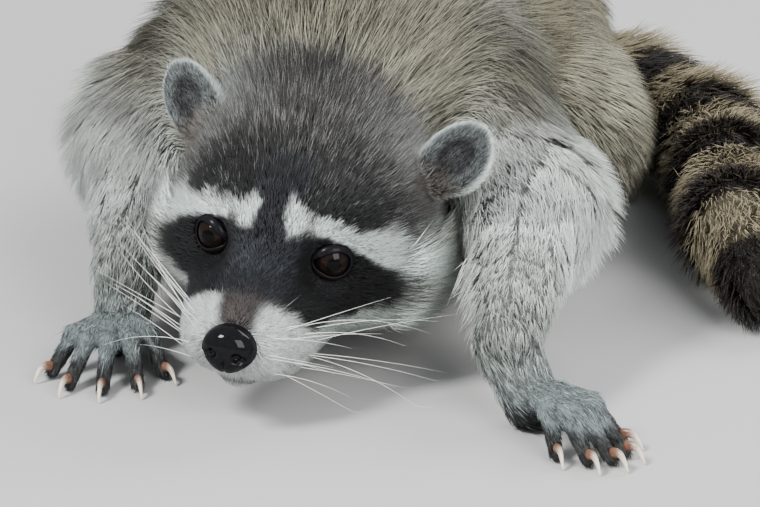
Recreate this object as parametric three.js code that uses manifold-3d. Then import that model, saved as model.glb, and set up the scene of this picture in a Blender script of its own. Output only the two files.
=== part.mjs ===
// A raccoon lying low on its chest, at its real size in millimetres: +Z up, nose towards -Y, its left side at +X.
// Every outer surface is the tips of the coat. Each sub-part is wrapped round a short path inside it: rays
// leave the path and stop where a smooth distance field, made of round cones and ellipsoids, reaches nought.
import * as THREE from "three";
import { mergeVertices } from "three/addons/utils/BufferGeometryUtils.js";
import Module from "manifold-3d";

// ---- Driving dimensions ----

const GAP = 0.35; // clear space between neighbouring solids
const FILLET = 6; // how far a limb's surface may swell where it runs into the body
const BODY_BLEND = 26; // how softly the limbs, the neck and the tail melt into the trunk
const TIDY = 0.15; // slivers thinner than this are dropped from a carved solid

// The origin of the part is on the floor, under the middle of the whole animal: this point of the skeleton below.
const FOOTPRINT_MIDDLE = [38.5, 6.2];

// Trunk: where the chest, the waist and the rump have their middles, and how thick the coat makes them.
const CHEST = { at: [1, -34, 81], radius: 77 };
const WAIST = { at: [1, 50, 96], radius: 82 };
const RUMP = { at: [-2, 122, 89], radius: 85 };
const TAIL_ROOT = { at: [0, 178, 70], radius: 54 };
const TRUNK_BLEND = 40;
const TRUNK_CUTS = [30, 114]; // y where the chest ends and where the rump begins

// Neck, from the back of the skull to the shoulders.
const NAPE = { at: [3, -117, 67], radius: 51 };
const WITHERS = { at: [1, -38, 98], radius: 68 };
const NECK_BLEND = 30;

// Head: its own frame has its origin midway between the eyes, the crown at +Z and the nose towards -Y.
const HEAD_AT = [1.3, -160.6, 62];
const HEAD_TURN = { yaw: -5.3, pitch: 4.3, roll: 8.2 };
const HEAD_BLEND = 16;
const NAPE_CUT = 56; // how far behind the eyes the head ends and the neck begins
const NAPE_FILLET = 24; // how far the back of the head may swell to meet the neck
const SKULL = { at: [0, 40, 6], half: [52, 52, 42] };
const BROW = { at: [0, 14, 4], half: [40, 34, 28] };
const BROW_RIDGE = { at: [19, 2, 15], half: [13, 12, 8] };
const CHEEK = { at: [33, 30, -14], half: [27, 38, 26] };
const UNDER_EYE = { at: [18, -6, -20], half: [13, 26, 12.5] };
const MUZZLE = { from: [1, 4, -9], to: [0.5, -36, -20.5], radii: [24, 16.5] };
const WHISKER_PAD = { at: [12, -32, -27.5], half: [13, 20, 12] };
const JAW = { from: [0, 14, -34], to: [0, -37, -38.5], radii: [20, 8.5] };
const NOSE = { at: [0, -55, -22.6], half: [11, 8, 9.5] };
const EYE = { at: [23.8, -7, 2.4], radius: 8.2 };
const SOCKET = { at: [26.3, -19, 3.4], radius: 10.5, blend: 6 };
const EAR = { at: [56, 46, 32.5], half: [12.8, 6.6, 18.6], lean: 35, tip: -14 };
const EAR_CUP = { ahead: 5.6, half: [9.2, 5.9, 14.4] };

// Fore limbs, from the shoulder to the wrist, and the way each hand points, in degrees out from straight ahead.
const FORE = {
  right: { joints: [[-48, -30, 98], [-80, -42, 72], [-75, -116, 34]], radii: [40, 36, 14], heading: -4, spread: 1 },
  left: { joints: [[48, -34, 94], [92, -84, 60], [95.5, -173, 33]], radii: [41, 31, 14], heading: 48, spread: 0.62 },
};
const FORE_BLEND = 20;

// Hind limbs, folded under the body: hip, knee, heel, and the ball of the foot that lies flat.
const HIP = { at: [36, 118, 80], radius: 58 };
const KNEE = { at: [76, 60, 50], radius: 46 };
const HEEL = { at: [64, 134, 26], radius: 22 };
const HIND_BLEND = 30;
const SOLE = { heel: [64, 138, 15], ball: [76, 62, 10], radii: [15, 11], heading: 8, spread: 0.8 };

// Hands and feet.
const PALM = { length: 16, height: 11, radius: 12, wristHeight: 30 };
const DIGIT = { reach: 44, knuckle: 12, radii: [5, 4.1, 3.3], heights: [17, 16, 3.1] };
const DIGIT_ANGLES = [-40, -20, -3, 14, 34];
const DIGIT_LENGTHS = [0.66, 0.92, 1, 0.95, 0.72];
const TOE_SCALE = 0.8; // the hind toes beside the fingers of the hand
const CLAW = { length: 9, rootHeight: 5.4, archHeight: 6.2, tipHeight: 1.1, radii: [1.9, 1.5, 0.5], root: 2 };

// Tail: it leaves the rump, lies down and curls forward along the left flank. Each place is x, y and thickness.
const TAIL_PLACES = [[0, 174, 42], [46, 204, 38], [100, 192, 36], [141, 145, 34], [160, 80, 32], [170, 12, 29], [187, -52, 18]];
const TAIL_ROOT_HEIGHT = 58;
const TAIL_SINK = 1.6; // how far the round tail is pressed flat against the floor
const TAIL_LENGTHS = 4;
const TAIL_BLEND = 10;

// Colours of the coat and of the bare parts, each with its roughness.
const finish = (color, roughness) => new THREE.MeshStandardMaterial({ color, roughness, metalness: 0 });
const COAT_GREY = finish(0x8d8a80, 0.9);
const COAT_PALE = finish(0xb4b3ab, 0.9);
const COAT_CROWN = finish(0x5d5f62, 0.9);
const COAT_TAIL = finish(0x9a8f78, 0.9);
const EAR_FUR = finish(0xc9c8c4, 0.9);
const NOSE_SKIN = finish(0x101113, 0.35);
const EYE_BROWN = finish(0x2a150c, 0.08);
const CLAW_HORN = finish(0x8a6a52, 0.4);

// ---- Distance fields ----

const point = (a) => new THREE.Vector3(...a);
const mirror = (a, side) => [a[0] * side, a[1], a[2]];

// A cone with round ends, of radius ra at a and rb at b.
function roundCone(a, ra, b, rb) {
  const axis = b.clone().sub(a);
  const length2 = axis.lengthSq();
  const slope = ra - rb;
  const flank2 = length2 - slope * slope;
  const off = new THREE.Vector3();
  return (p) => {
    off.subVectors(p, a);
    const along = off.dot(axis);
    const beyond = along - length2;
    const across2 = off.multiplyScalar(length2).addScaledVector(axis, -along).lengthSq();
    const start2 = along * along * length2;
    const end2 = beyond * beyond * length2;
    const limit = Math.sign(slope) * slope * slope * across2;
    if (Math.sign(beyond) * flank2 * end2 > limit) return Math.sqrt(across2 + end2) / length2 - rb;
    if (Math.sign(along) * flank2 * start2 < limit) return Math.sqrt(across2 + start2) / length2 - ra;
    return (Math.sqrt((across2 * flank2) / length2) + along * slope) / length2 - ra;
  };
}

// An ellipsoid with half axes along its own frame, which "turn" carries into the frame of the part.
function ellipsoid(centre, half, turn = new THREE.Quaternion()) {
  const back = turn.clone().invert();
  const local = new THREE.Vector3();
  const axes = point(half);
  const scaled = new THREE.Vector3();
  return (p) => {
    local.subVectors(p, centre).applyQuaternion(back);
    const size = scaled.copy(local).divide(axes).length();
    const steep = scaled.divide(axes).length();
    return steep < 1e-9 ? -Math.min(...half) : (size * (size - 1)) / steep;
  };
}

// The smooth union of two distances: within k of each other they melt together.
function melt(a, b, k) {
  const h = THREE.MathUtils.clamp(0.5 + (0.5 * (b - a)) / k, 0, 1);
  return b + (a - b) * h - k * h * (1 - h);
}

const FAR = 1e6;
const union = (k, fields) => (p) => fields.reduce((d, field) => melt(d, field(p), k), FAR);
const grown = (field, by) => (p) => field(p) - by;

// Round cones strung along joints, one radius to each joint.
function chain(joints, radii, k) {
  const links = joints.slice(1).map((b, i) => roundCone(joints[i], radii[i], b, radii[i + 1]));
  return union(k, links);
}

// ---- Solids ----

const wasm = await Module();
wasm.setup();

function toSolid(geometry) {
  const bare = geometry.clone();
  bare.deleteAttribute("normal");
  bare.deleteAttribute("uv");
  const merged = mergeVertices(bare, 1e-4);
  const vertProperties = Float32Array.from(merged.attributes.position.array);
  const triVerts = Uint32Array.from(merged.index.array);
  return new wasm.Manifold(new wasm.Mesh({ numProp: 3, vertProperties, triVerts }));
}

function toGeometry(solid) {
  const mesh = solid.getMesh();
  const geometry = new THREE.BufferGeometry();
  geometry.setAttribute("position", new THREE.BufferAttribute(mesh.vertProperties, 3));
  geometry.setIndex(new THREE.BufferAttribute(mesh.triVerts, 1));
  const faceted = geometry.toNonIndexed();
  faceted.computeVertexNormals();
  return faceted;
}

// How far a ray from inside goes before the field reaches nought: it steps by the distance that is still free.
function reach(field, origin, direction) {
  const p = new THREE.Vector3();
  let travelled = 0;
  for (let step = 0; step < 80; step++) {
    const free = -field(p.copy(origin).addScaledVector(direction, travelled));
    if (free < 1e-3) break;
    travelled += free * 0.9;
  }
  return travelled;
}

// A closed skin round a path: rings of rays square to it, and "caps" rings that fan round each of its ends.
function wrap(field, joints, { rings, caps, sides }) {
  const curve = joints.length > 2 ? new THREE.CatmullRomCurve3(joints) : new THREE.LineCurve3(...joints);
  const frames = curve.computeFrenetFrames(rings, false);
  const rows = [];
  const addRow = (station, tilt) => rows.push({ station, tilt });
  for (let i = caps; i >= 1; i--) addRow(0, (-i / (caps + 1)) * (Math.PI / 2));
  for (let i = 0; i <= rings; i++) addRow(i, 0);
  for (let i = 1; i <= caps; i++) addRow(rings, (i / (caps + 1)) * (Math.PI / 2));
  const places = [];
  const cast = (station, direction) => {
    const origin = curve.getPointAt(station / rings);
    places.push(...origin.addScaledVector(direction, reach(field, origin, direction)).toArray());
  };
  for (const { station, tilt } of rows) {
    for (let s = 0; s < sides; s++) {
      const turn = (s / sides) * 2 * Math.PI;
      const direction = frames.normals[station].clone().multiplyScalar(Math.cos(turn) * Math.cos(tilt));
      direction.addScaledVector(frames.binormals[station], Math.sin(turn) * Math.cos(tilt));
      direction.addScaledVector(frames.tangents[station], Math.sin(tilt));
      cast(station, direction);
    }
  }
  cast(0, frames.tangents[0].clone().negate());
  cast(rings, frames.tangents[rings]);
  const faces = [];
  const last = (rows.length - 1) * sides;
  const startPole = rows.length * sides;
  for (let s = 0; s < sides; s++) {
    const next = (s + 1) % sides;
    for (let r = 0; r < last; r += sides) {
      faces.push(r + s, r + next, r + sides + next, r + s, r + sides + next, r + sides + s);
    }
    faces.push(startPole, next, s, startPole + 1, last + s, last + next);
  }
  const geometry = new THREE.BufferGeometry();
  geometry.setAttribute("position", new THREE.Float32BufferAttribute(places, 3));
  geometry.setIndex(faces);
  const solid = toSolid(geometry);
  return solid.volume() > 0 ? solid : toSolid(geometry.setIndex(faces.reverse()));
}

// A sub-part's solid and its guard: the same skin grown by the gap, which is cut out of the neighbours.
function flesh(field, joints, detail) {
  return { solid: wrap(field, joints, detail), guard: wrap(grown(field, GAP), joints, detail) };
}

function join(parts) {
  const add = (key) => parts.map((part) => part[key]).reduce((a, b) => a.add(b));
  return { solid: add("solid"), guard: add("guard") };
}

// What is left of a solid on one side of a plane that goes through "at", half a gap short of it.
function keepPast(solid, at, way) {
  return solid.trimByPlane(way.toArray(), way.dot(at) + GAP / 2);
}

// The largest piece of a solid that is left above the floor once its neighbours' guards are taken away.
function carve(solid, neighbours) {
  const left = neighbours.reduce((rest, other) => rest.subtract(other.guard), solid);
  const pieces = left.trimByPlane([0, 0, 1], 0).simplify(TIDY).decompose();
  return pieces.sort((a, b) => b.volume() - a.volume())[0];
}

const raccoon = new THREE.Group();
raccoon.name = "raccoon";
const headGroup = new THREE.Group();
headGroup.name = "head_frame";
headGroup.position.set(...HEAD_AT);
const { yaw, pitch, roll } = HEAD_TURN;
const headEuler = new THREE.Euler(...[pitch, roll, yaw].map(THREE.MathUtils.degToRad), "ZXY");
headGroup.quaternion.setFromEuler(headEuler);
headGroup.updateMatrix();
raccoon.add(headGroup);

// Hangs a carved solid on its group as a named mesh. The mesh's own origin is at "pivot", its joint.
function addNode(name, material, solid, pivot, group = raccoon) {
  const geometry = toGeometry(solid);
  geometry.applyMatrix4(group.matrix.clone().invert());
  const origin = group === raccoon ? pivot : pivot.clone().applyMatrix4(group.matrix.clone().invert());
  geometry.translate(-origin.x, -origin.y, -origin.z);
  const mesh = new THREE.Mesh(geometry, material);
  mesh.name = name;
  mesh.position.copy(origin);
  group.add(mesh);
}

// ---- Where everything lies ----

const SIDES = { left: 1, right: -1 };
const onHead = (a) => point(a).applyMatrix4(headGroup.matrix);
const headTurn = headGroup.quaternion;
const headEllipsoid = ({ at, half }, side = 1) => ellipsoid(onHead(mirror(at, side)), half, headTurn);
const headCone = ({ from, to, radii }) => roundCone(onHead(from), radii[0], onHead(to), radii[1]);
const places = (spots) => spots.map(({ at }) => point(at));
const radiiOf = (spots) => spots.map(({ radius }) => radius);

const spine = [CHEST, WAIST, RUMP, TAIL_ROOT];
const trunkField = chain(places(spine), radiiOf(spine), TRUNK_BLEND);
const neckField = chain(places([NAPE, WITHERS]), radiiOf([NAPE, WITHERS]), NECK_BLEND);

// The skull with brow, cheeks and muzzle, and a hollow pressed in round each eye.
const faceSides = [BROW_RIDGE, CHEEK, UNDER_EYE, WHISKER_PAD].flatMap((spot) => [1, -1].map((s) => headEllipsoid(spot, s)));
const skullField = union(HEAD_BLEND, [headEllipsoid(SKULL), headEllipsoid(BROW), headCone(MUZZLE), ...faceSides]);
const sockets = [1, -1].map((side) => onHead(mirror(SOCKET.at, side)));
const bareHead = (p) =>
  sockets.reduce((d, at) => -melt(-d, p.distanceTo(at) - SOCKET.radius, SOCKET.blend), skullField(p));
const headField = (p) => {
  const own = bareHead(p);
  return Math.max(melt(own, neckField(p), HEAD_BLEND), own - NAPE_FILLET);
};
const jawField = headCone(JAW);

const foreJoints = (side) => FORE[side].joints.map(point);
const foreField = (side) => chain(foreJoints(side), FORE[side].radii, FORE_BLEND);
const hindJoints = (side) => [HIP, KNEE, HEEL].map(({ at }) => point(mirror(at, SIDES[side])));
const hindField = (side) => chain(hindJoints(side), radiiOf([HIP, KNEE, HEEL]), HIND_BLEND);
const soleJoints = (side) => [SOLE.heel, SOLE.ball].map((at) => point(mirror(at, SIDES[side])));

const tailRadii = TAIL_PLACES.map((place) => place[2]);
const tailJoints = TAIL_PLACES.map(([x, y, r], i) => point([x, y, i ? r - TAIL_SINK : TAIL_ROOT_HEIGHT]));
const tailField = chain(tailJoints, tailRadii, TAIL_BLEND);

// The body as one smooth form, and a limb's own share of it, with the fillet where it runs into the rest.
const limbs = [foreField("left"), foreField("right"), hindField("left"), hindField("right"), tailField];
const bodyField = union(BODY_BLEND, [trunkField, neckField, bareHead, ...limbs]);
const share = (own) => (p) => Math.max(bodyField(p), own(p) - FILLET);

// ---- Trunk, neck and tail ----

const trunk = flesh(trunkField, places(spine), { rings: 8, caps: 3, sides: 20 });
const BACKWARD = new THREE.Vector3(0, 1, 0);
const FORWARD = new THREE.Vector3(0, -1, 0);
const [chestEnd, rumpStart] = TRUNK_CUTS.map((y) => point([0, y, 0]));
const chest = keepPast(trunk.solid, chestEnd, FORWARD);
const belly = keepPast(keepPast(trunk.solid, chestEnd, BACKWARD), rumpStart, FORWARD);
const rump = keepPast(trunk.solid, rumpStart, BACKWARD);
addNode("chest", COAT_GREY, carve(chest, []), point(CHEST.at));
addNode("belly", COAT_GREY, carve(belly, []), point(WAIST.at));
addNode("rump", COAT_GREY, carve(rump, []), point(RUMP.at));

// ---- Head ----

const eyes = {};
const ears = {};
for (const [side, sign] of Object.entries(SIDES)) {
  const ball = (radius) => {
    const at = onHead(mirror(EYE.at, sign));
    return toSolid(new THREE.SphereGeometry(radius, 10, 7).translate(at.x, at.y, at.z));
  };
  eyes[side] = { solid: ball(EYE.radius), guard: ball(EYE.radius + GAP) };

  // An upright oval plate, leaning outwards, with an oval cup taken out of its front.
  const lean = new THREE.Quaternion().setFromAxisAngle(new THREE.Vector3(0, 1, 0), (sign * EAR.lean * Math.PI) / 180);
  const tip = new THREE.Quaternion().setFromAxisAngle(new THREE.Vector3(1, 0, 0), (EAR.tip * Math.PI) / 180);
  const turn = headTurn.clone().multiply(lean).multiply(tip);
  const oval = (half, ahead, grow = 0) => {
    const at = onHead(mirror(EAR.at, sign)).add(new THREE.Vector3(0, -ahead, 0).applyQuaternion(turn));
    const ball = new THREE.SphereGeometry(1, 12, 8).scale(...half.map((h) => h + grow));
    return toSolid(ball.applyQuaternion(turn).translate(at.x, at.y, at.z));
  };
  const cup = oval(EAR_CUP.half, EAR_CUP.ahead);
  ears[side] = { solid: oval(EAR.half, 0).subtract(cup), guard: oval(EAR.half, 0, GAP) };
}

const noseField = headEllipsoid(NOSE);
const noseJoints = [[0, 3, 0], [0, -3, 0]].map((off) => onHead(NOSE.at.map((v, i) => v + off[i])));
const nose = flesh(noseField, noseJoints, { rings: 2, caps: 1, sides: 12 });
const headJoints = [[0, 52, 5], [0, 12, 0], [0, -34, -19]].map(onHead);
const head = flesh(headField, headJoints, { rings: 9, caps: 3, sides: 24 });
const jawJoints = [JAW.from, JAW.to].map(onHead);
const jaw = flesh(jawField, jawJoints, { rings: 3, caps: 2, sides: 12 });
const neck = flesh(share(neckField), places([NAPE, WITHERS]), { rings: 4, caps: 2, sides: 18 });
const eyePair = [eyes.left, eyes.right];
const earPair = [ears.left, ears.right];

const nape = onHead([0, NAPE_CUT, 0]);
const towardsNeck = BACKWARD.clone().applyQuaternion(headTurn);
const face = keepPast(head.solid, nape, towardsNeck.clone().negate());

addNode("head", COAT_CROWN, carve(face, [nose, trunk, ...eyePair]), point(HEAD_AT), headGroup);
addNode("lower_jaw", COAT_PALE, carve(jaw.solid, [head, nose, trunk]), onHead(JAW.from), headGroup);
addNode("nose", NOSE_SKIN, carve(nose.solid, []), onHead(NOSE.at), headGroup);
for (const [side, sign] of Object.entries(SIDES)) {
  addNode("ear_" + side, EAR_FUR, carve(ears[side].solid, [head]), onHead(mirror(EAR.at, sign)), headGroup);
  addNode("eye_" + side, EYE_BROWN, carve(eyes[side].solid, []), onHead(mirror(EYE.at, sign)), headGroup);
}
const ruff = keepPast(neck.solid, nape, towardsNeck);
addNode("neck", COAT_GREY, carve(ruff, [trunk, jaw, ...earPair]), point(NAPE.at));

// ---- Hands, feet and claws ----

const ahead = (heading, sign) => {
  const turn = (heading * Math.PI) / 180;
  return new THREE.Vector3(sign * Math.sin(turn), -Math.cos(turn), 0);
};

// The five digits that fan out from the middle of a palm, each arched from its knuckle down to its pad.
function digitsFrom(middle, heading, spread, sign, scale) {
  return DIGIT_ANGLES.map((angle, i) => {
    const way = ahead(heading + angle * spread, sign);
    const length = DIGIT.reach * DIGIT_LENGTHS[i] * scale;
    const knuckle = DIGIT.knuckle * scale;
    const steps = [knuckle, knuckle + length * 0.45, knuckle + length * 0.85];
    const joints = steps.map((step, j) => {
      const spot = middle.clone().addScaledVector(way, step);
      return spot.setZ(DIGIT.heights[j]);
    });
    return { way, joints, radii: DIGIT.radii.map((r) => r * Math.sqrt(scale)) };
  });
}

// A claw leaves the end of its digit, arches a little and comes down to a point just above the floor.
function clawOn({ way, joints }) {
  const heights = [CLAW.rootHeight, CLAW.archHeight, CLAW.tipHeight];
  const spots = heights.map((height, i) => {
    const forward = CLAW.root + (i / 2) * CLAW.length;
    return joints[2].clone().addScaledVector(way, forward).setZ(height);
  });
  return flesh(chain(spots, CLAW.radii, 0.5), spots, { rings: 2, caps: 0, sides: 5 });
}

function addPaw(name, palmField, palmJoints, digits, detail, neighbours) {
  const toes = digits.map(({ joints, radii }) => flesh(chain(joints, radii, 2), joints, detail));
  const paw = join([flesh(palmField, palmJoints, { rings: 2, caps: 1, sides: 9 }), ...toes]);
  addNode(name, COAT_PALE, carve(paw.solid, neighbours), palmJoints[0]);
  digits.forEach((digit, i) => {
    addNode(name + "_claw_" + (i + 1), CLAW_HORN, carve(clawOn(digit).solid, [paw]), digit.joints[2]);
  });
  return paw;
}

// ---- Limbs ----

const bodyGuards = [trunk, neck, head, jaw, ...earPair];

for (const [side, sign] of Object.entries(SIDES)) {
  const { radii, heading, spread } = FORE[side];
  const [shoulder, elbow, wrist] = foreJoints(side);
  const upperField = share(roundCone(shoulder, radii[0], elbow, radii[1]));
  const upper = flesh(upperField, [shoulder, elbow], { rings: 2, caps: 2, sides: 14 });
  const lowerField = share(roundCone(elbow, radii[1], wrist, radii[2]));
  const lower = flesh(lowerField, [elbow, wrist], { rings: 4, caps: 2, sides: 12 });
  addNode("upper_arm_" + side, COAT_PALE, carve(upper.solid, bodyGuards), shoulder);
  addNode("forearm_" + side, COAT_PALE, carve(lower.solid, [upper, ...bodyGuards]), elbow);
  const wristTop = wrist.clone().setZ(PALM.wristHeight);
  const middle = wrist.clone().addScaledVector(ahead(heading, sign), PALM.length).setZ(PALM.height);
  const palmField = roundCone(wristTop, PALM.radius + 1, middle, PALM.radius);
  const digits = digitsFrom(middle, heading, spread, sign, 1);
  addPaw("hand_" + side, palmField, [wristTop, middle], digits, { rings: 2, caps: 1, sides: 6 }, [lower]);
}

const hindGuards = [];
for (const [side, sign] of Object.entries(SIDES)) {
  const [hip, knee, heel] = hindJoints(side);
  const thighField = share(roundCone(hip, HIP.radius, knee, KNEE.radius));
  const thigh = flesh(thighField, [hip, knee], { rings: 3, caps: 2, sides: 16 });
  const shankField = share(roundCone(knee, KNEE.radius, heel, HEEL.radius));
  const shank = flesh(shankField, [knee, heel], { rings: 3, caps: 2, sides: 14 });
  addNode("thigh_" + side, COAT_GREY, carve(thigh.solid, [trunk]), hip);
  addNode("shank_" + side, COAT_GREY, carve(shank.solid, [trunk, thigh]), knee);
  const [back, ball] = soleJoints(side);
  const soleField = roundCone(back, SOLE.radii[0], ball, SOLE.radii[1]);
  const digits = digitsFrom(ball.clone().setZ(0), SOLE.heading, SOLE.spread, sign, TOE_SCALE);
  const detail = { rings: 2, caps: 1, sides: 5 };
  const foot = addPaw("foot_" + side, soleField, [back, ball], digits, detail, [trunk, thigh, shank]);
  hindGuards.push(thigh, shank, foot);
}

// The tail in equal lengths, each cut square to the curve that it follows.
const tailCurve = new THREE.CatmullRomCurve3(tailJoints);
for (let i = 0; i < TAIL_LENGTHS; i++) {
  const stops = [0, 1, 2].map((step) => tailCurve.getPointAt((i + step / 2) / TAIL_LENGTHS));
  const length = wrap(share(tailField), stops, { rings: 3, caps: i === TAIL_LENGTHS - 1 ? 3 : 0, sides: 13 });
  const [start, end] = [i, i + 1].map((n) => n / TAIL_LENGTHS);
  const opened = i === 0 ? length : keepPast(length, stops[0], tailCurve.getTangentAt(start));
  const piece = end === 1 ? opened : keepPast(opened, stops[2], tailCurve.getTangentAt(end).negate());
  addNode("tail_" + (i + 1), COAT_TAIL, carve(piece, [trunk, ...hindGuards]), stops[0]);
}

raccoon.position.set(-FOOTPRINT_MIDDLE[0], -FOOTPRINT_MIDDLE[1], 0);

export default raccoon;
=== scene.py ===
"""A life-size raccoon lying low on its belly, with its head turned and its tail curled along its left flank.

It faces -Y, its left side is at +X and +Z is up. The skin is the zero level of a smooth distance field that
is built from the animal's bones outwards, and the coat stands on it as solid tufts.
"""

import math

import bpy
import numpy as np
from mathutils import Matrix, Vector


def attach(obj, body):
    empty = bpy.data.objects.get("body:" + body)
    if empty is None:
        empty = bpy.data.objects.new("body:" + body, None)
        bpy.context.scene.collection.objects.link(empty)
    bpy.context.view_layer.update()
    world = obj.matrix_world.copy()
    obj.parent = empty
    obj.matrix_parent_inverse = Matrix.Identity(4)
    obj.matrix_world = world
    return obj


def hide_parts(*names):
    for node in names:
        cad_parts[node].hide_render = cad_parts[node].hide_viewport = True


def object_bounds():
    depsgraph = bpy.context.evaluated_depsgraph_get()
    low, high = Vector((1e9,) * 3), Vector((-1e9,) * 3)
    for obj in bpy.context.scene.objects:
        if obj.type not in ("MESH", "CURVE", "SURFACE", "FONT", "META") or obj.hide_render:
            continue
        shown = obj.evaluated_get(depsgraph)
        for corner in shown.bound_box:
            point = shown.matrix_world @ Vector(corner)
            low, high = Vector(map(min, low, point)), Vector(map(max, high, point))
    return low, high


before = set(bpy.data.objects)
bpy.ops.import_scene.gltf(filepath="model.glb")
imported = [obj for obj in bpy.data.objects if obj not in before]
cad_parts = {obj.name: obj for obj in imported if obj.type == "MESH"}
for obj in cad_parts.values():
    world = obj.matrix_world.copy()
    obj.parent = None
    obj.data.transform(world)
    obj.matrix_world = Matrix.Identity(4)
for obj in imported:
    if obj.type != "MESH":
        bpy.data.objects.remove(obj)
cad_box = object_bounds()

# ---------------------------------------------------------------- Camera
# Ahead of the animal, a little to its left and well above its back, looking down at the face. A long lens
# keeps the proportions of the head and the hands true.

VIEW_AZIMUTH = math.radians(11)
VIEW_ELEVATION = math.radians(18)
VIEW_DISTANCE = 1.25
LENS_MM = 148
SENSOR_MM = 36
NEAREST = 0.05  # what is nearer to the camera isn't shown
MIDDLE = np.array([0.0385, 0.0062, 0])  # the place on the skeleton that lies over the origin
HEAD_AT = np.array([0.0013, -0.1606, 0.062]) - MIDDLE
HEAD_IN_VIEW = (-0.0403, 0.0039)  # the middle of the head, right of and above the view's centre

sin_a, cos_a = math.sin(VIEW_AZIMUTH), math.cos(VIEW_AZIMUTH)
sin_e, cos_e = math.sin(VIEW_ELEVATION), math.cos(VIEW_ELEVATION)
view_right = np.array([cos_a, sin_a, 0])
view_ahead = np.array([-sin_a * cos_e, cos_a * cos_e, -sin_e])
view_up = np.array([-sin_a * sin_e, cos_a * sin_e, cos_e])
eye_point = HEAD_AT - HEAD_IN_VIEW[0] * view_right - HEAD_IN_VIEW[1] * view_up - VIEW_DISTANCE * view_ahead
camera_data = bpy.data.cameras.new("camera")
camera_data.lens = LENS_MM
camera_data.sensor_width = SENSOR_MM
camera_data.clip_start = NEAREST
camera = bpy.data.objects.new("camera", camera_data)
bpy.context.collection.objects.link(camera)
camera_axes = Matrix(np.stack([view_right, view_up, -view_ahead], 1))
camera.matrix_world = Matrix.LocRotScale(eye_point, camera_axes, None)
bpy.context.scene.camera = camera

# ---------------------------------------------------------------- Light and floor
# A pale, matt floor and sky, a key lamp at the upper left of the view, and a fill and a rim lamp that are
# broader and weaker. None of it is part of the animal.

FLOOR_SIZE = 12.0
FLOOR_COLOUR = (0.42, 0.42, 0.41, 1)
FLOOR_ROUGHNESS = 0.9
SKY_COLOUR = (0.86, 0.9, 0.95, 1)
SKY_STRENGTH = 0.78
LAMPS = {  # name: place, size across, power
    "key": ((-1.2, -1.3, 1.9), 0.6, 100),
    "fill": ((1.4, -1.6, 1.2), 1.4, 72),
    "rim": ((1.1, 1.5, 1.5), 1.2, 50),
}
LAMP_AIM = (-0.02, -0.05, 0.08)

reach_of_floor = FLOOR_SIZE / 2
floor_mesh = bpy.data.meshes.new("floor")
corners = [(-1, -1), (1, -1), (1, 1), (-1, 1)]
floor_mesh.from_pydata([(x * reach_of_floor, y * reach_of_floor, 0) for x, y in corners], [], [(0, 1, 2, 3)])
floor = bpy.data.objects.new("floor", floor_mesh)
bpy.context.collection.objects.link(floor)
floor_paint = bpy.data.materials.new("floor_paint")
floor_paint.use_nodes = True
floor_shader = floor_paint.node_tree.nodes["Principled BSDF"]
floor_shader.inputs["Base Color"].default_value = FLOOR_COLOUR
floor_shader.inputs["Roughness"].default_value = FLOOR_ROUGHNESS
floor_mesh.materials.append(floor_paint)

world = bpy.data.worlds.new("sky")
world.use_nodes = True
background = world.node_tree.nodes["Background"]
background.inputs["Color"].default_value = SKY_COLOUR
background.inputs["Strength"].default_value = SKY_STRENGTH
bpy.context.scene.world = world
for name, (place, size, power) in LAMPS.items():
    lamp_data = bpy.data.lights.new(name, "AREA")
    lamp_data.size = size
    lamp_data.energy = power
    lamp = bpy.data.objects.new(name, lamp_data)
    lamp.location = place
    aim = np.array(LAMP_AIM) - place
    pitch = math.atan2(math.hypot(aim[0], aim[1]), -aim[2])
    lamp.rotation_euler = (pitch, 0, math.atan2(-aim[0], aim[1]))
    bpy.context.collection.objects.link(lamp)

# ---------------------------------------------------------------- Form of the body
# Each part of the animal is a few round cones and ovals that melt into each other. A bone holds its size out
# to the tips of the coat, how deep the coat is there, and the way the hair lies on it.


def turned(yaw=0.0, pitch=0.0, roll=0.0):
    """The matrix that rolls about Y, then pitches about X, then yaws about Z, all in degrees."""
    (cy, cp, cr), (sy, sp, sr) = (f(np.radians([yaw, pitch, roll])) for f in (np.cos, np.sin))
    about_z = np.array([[cy, -sy, 0], [sy, cy, 0], [0, 0, 1]])
    about_x = np.array([[1, 0, 0], [0, cp, -sp], [0, sp, cp]])
    about_y = np.array([[cr, 0, sr], [0, 1, 0], [-sr, 0, cr]])
    return about_z @ about_x @ about_y


def cone_distance(points, start, end, radii):
    """Distance to a cone with round ends. The nearest point lies on the cone's side or on one of its end
    balls, whichever the point's place along and across the axis picks."""
    axis = end - start
    length2 = axis @ axis
    slope = radii[0] - radii[1]
    side2 = length2 - slope * slope
    off = points - start
    along = off @ axis
    beyond = along - length2
    across2 = ((off * length2 - along[:, None] * axis) ** 2).sum(1)
    limit = np.sign(slope) * slope * slope * across2
    side = (np.sqrt(across2 * side2 / length2) + along * slope) / length2 - radii[0]
    past_end = np.sign(beyond) * side2 * beyond**2 * length2 > limit
    before_start = np.sign(along) * side2 * along**2 * length2 < limit
    at_end = np.sqrt(across2 + beyond**2 * length2) / length2 - radii[1]
    at_start = np.sqrt(across2 + along**2 * length2) / length2 - radii[0]
    return np.where(past_end, at_end, np.where(before_start, at_start, side))


def oval_distance(points, centre, half, turn):
    """Near enough the distance to an ellipsoid: its implicit value over the length of that value's slope."""
    local = (points - centre) @ turn
    size = np.sqrt(((local / half) ** 2).sum(1))
    slope = np.sqrt(((local / half**2) ** 2).sum(1)) + 1e-9
    return size * (size - 1) / slope


def melt(a, b, reach):
    """Smooth union: the lower of two distances, and a little less where they are within reach."""
    h = np.clip(0.5 + 0.5 * (b - a) / reach, 0, 1)
    return b + (a - b) * h - reach * h * (1 - h)


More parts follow.
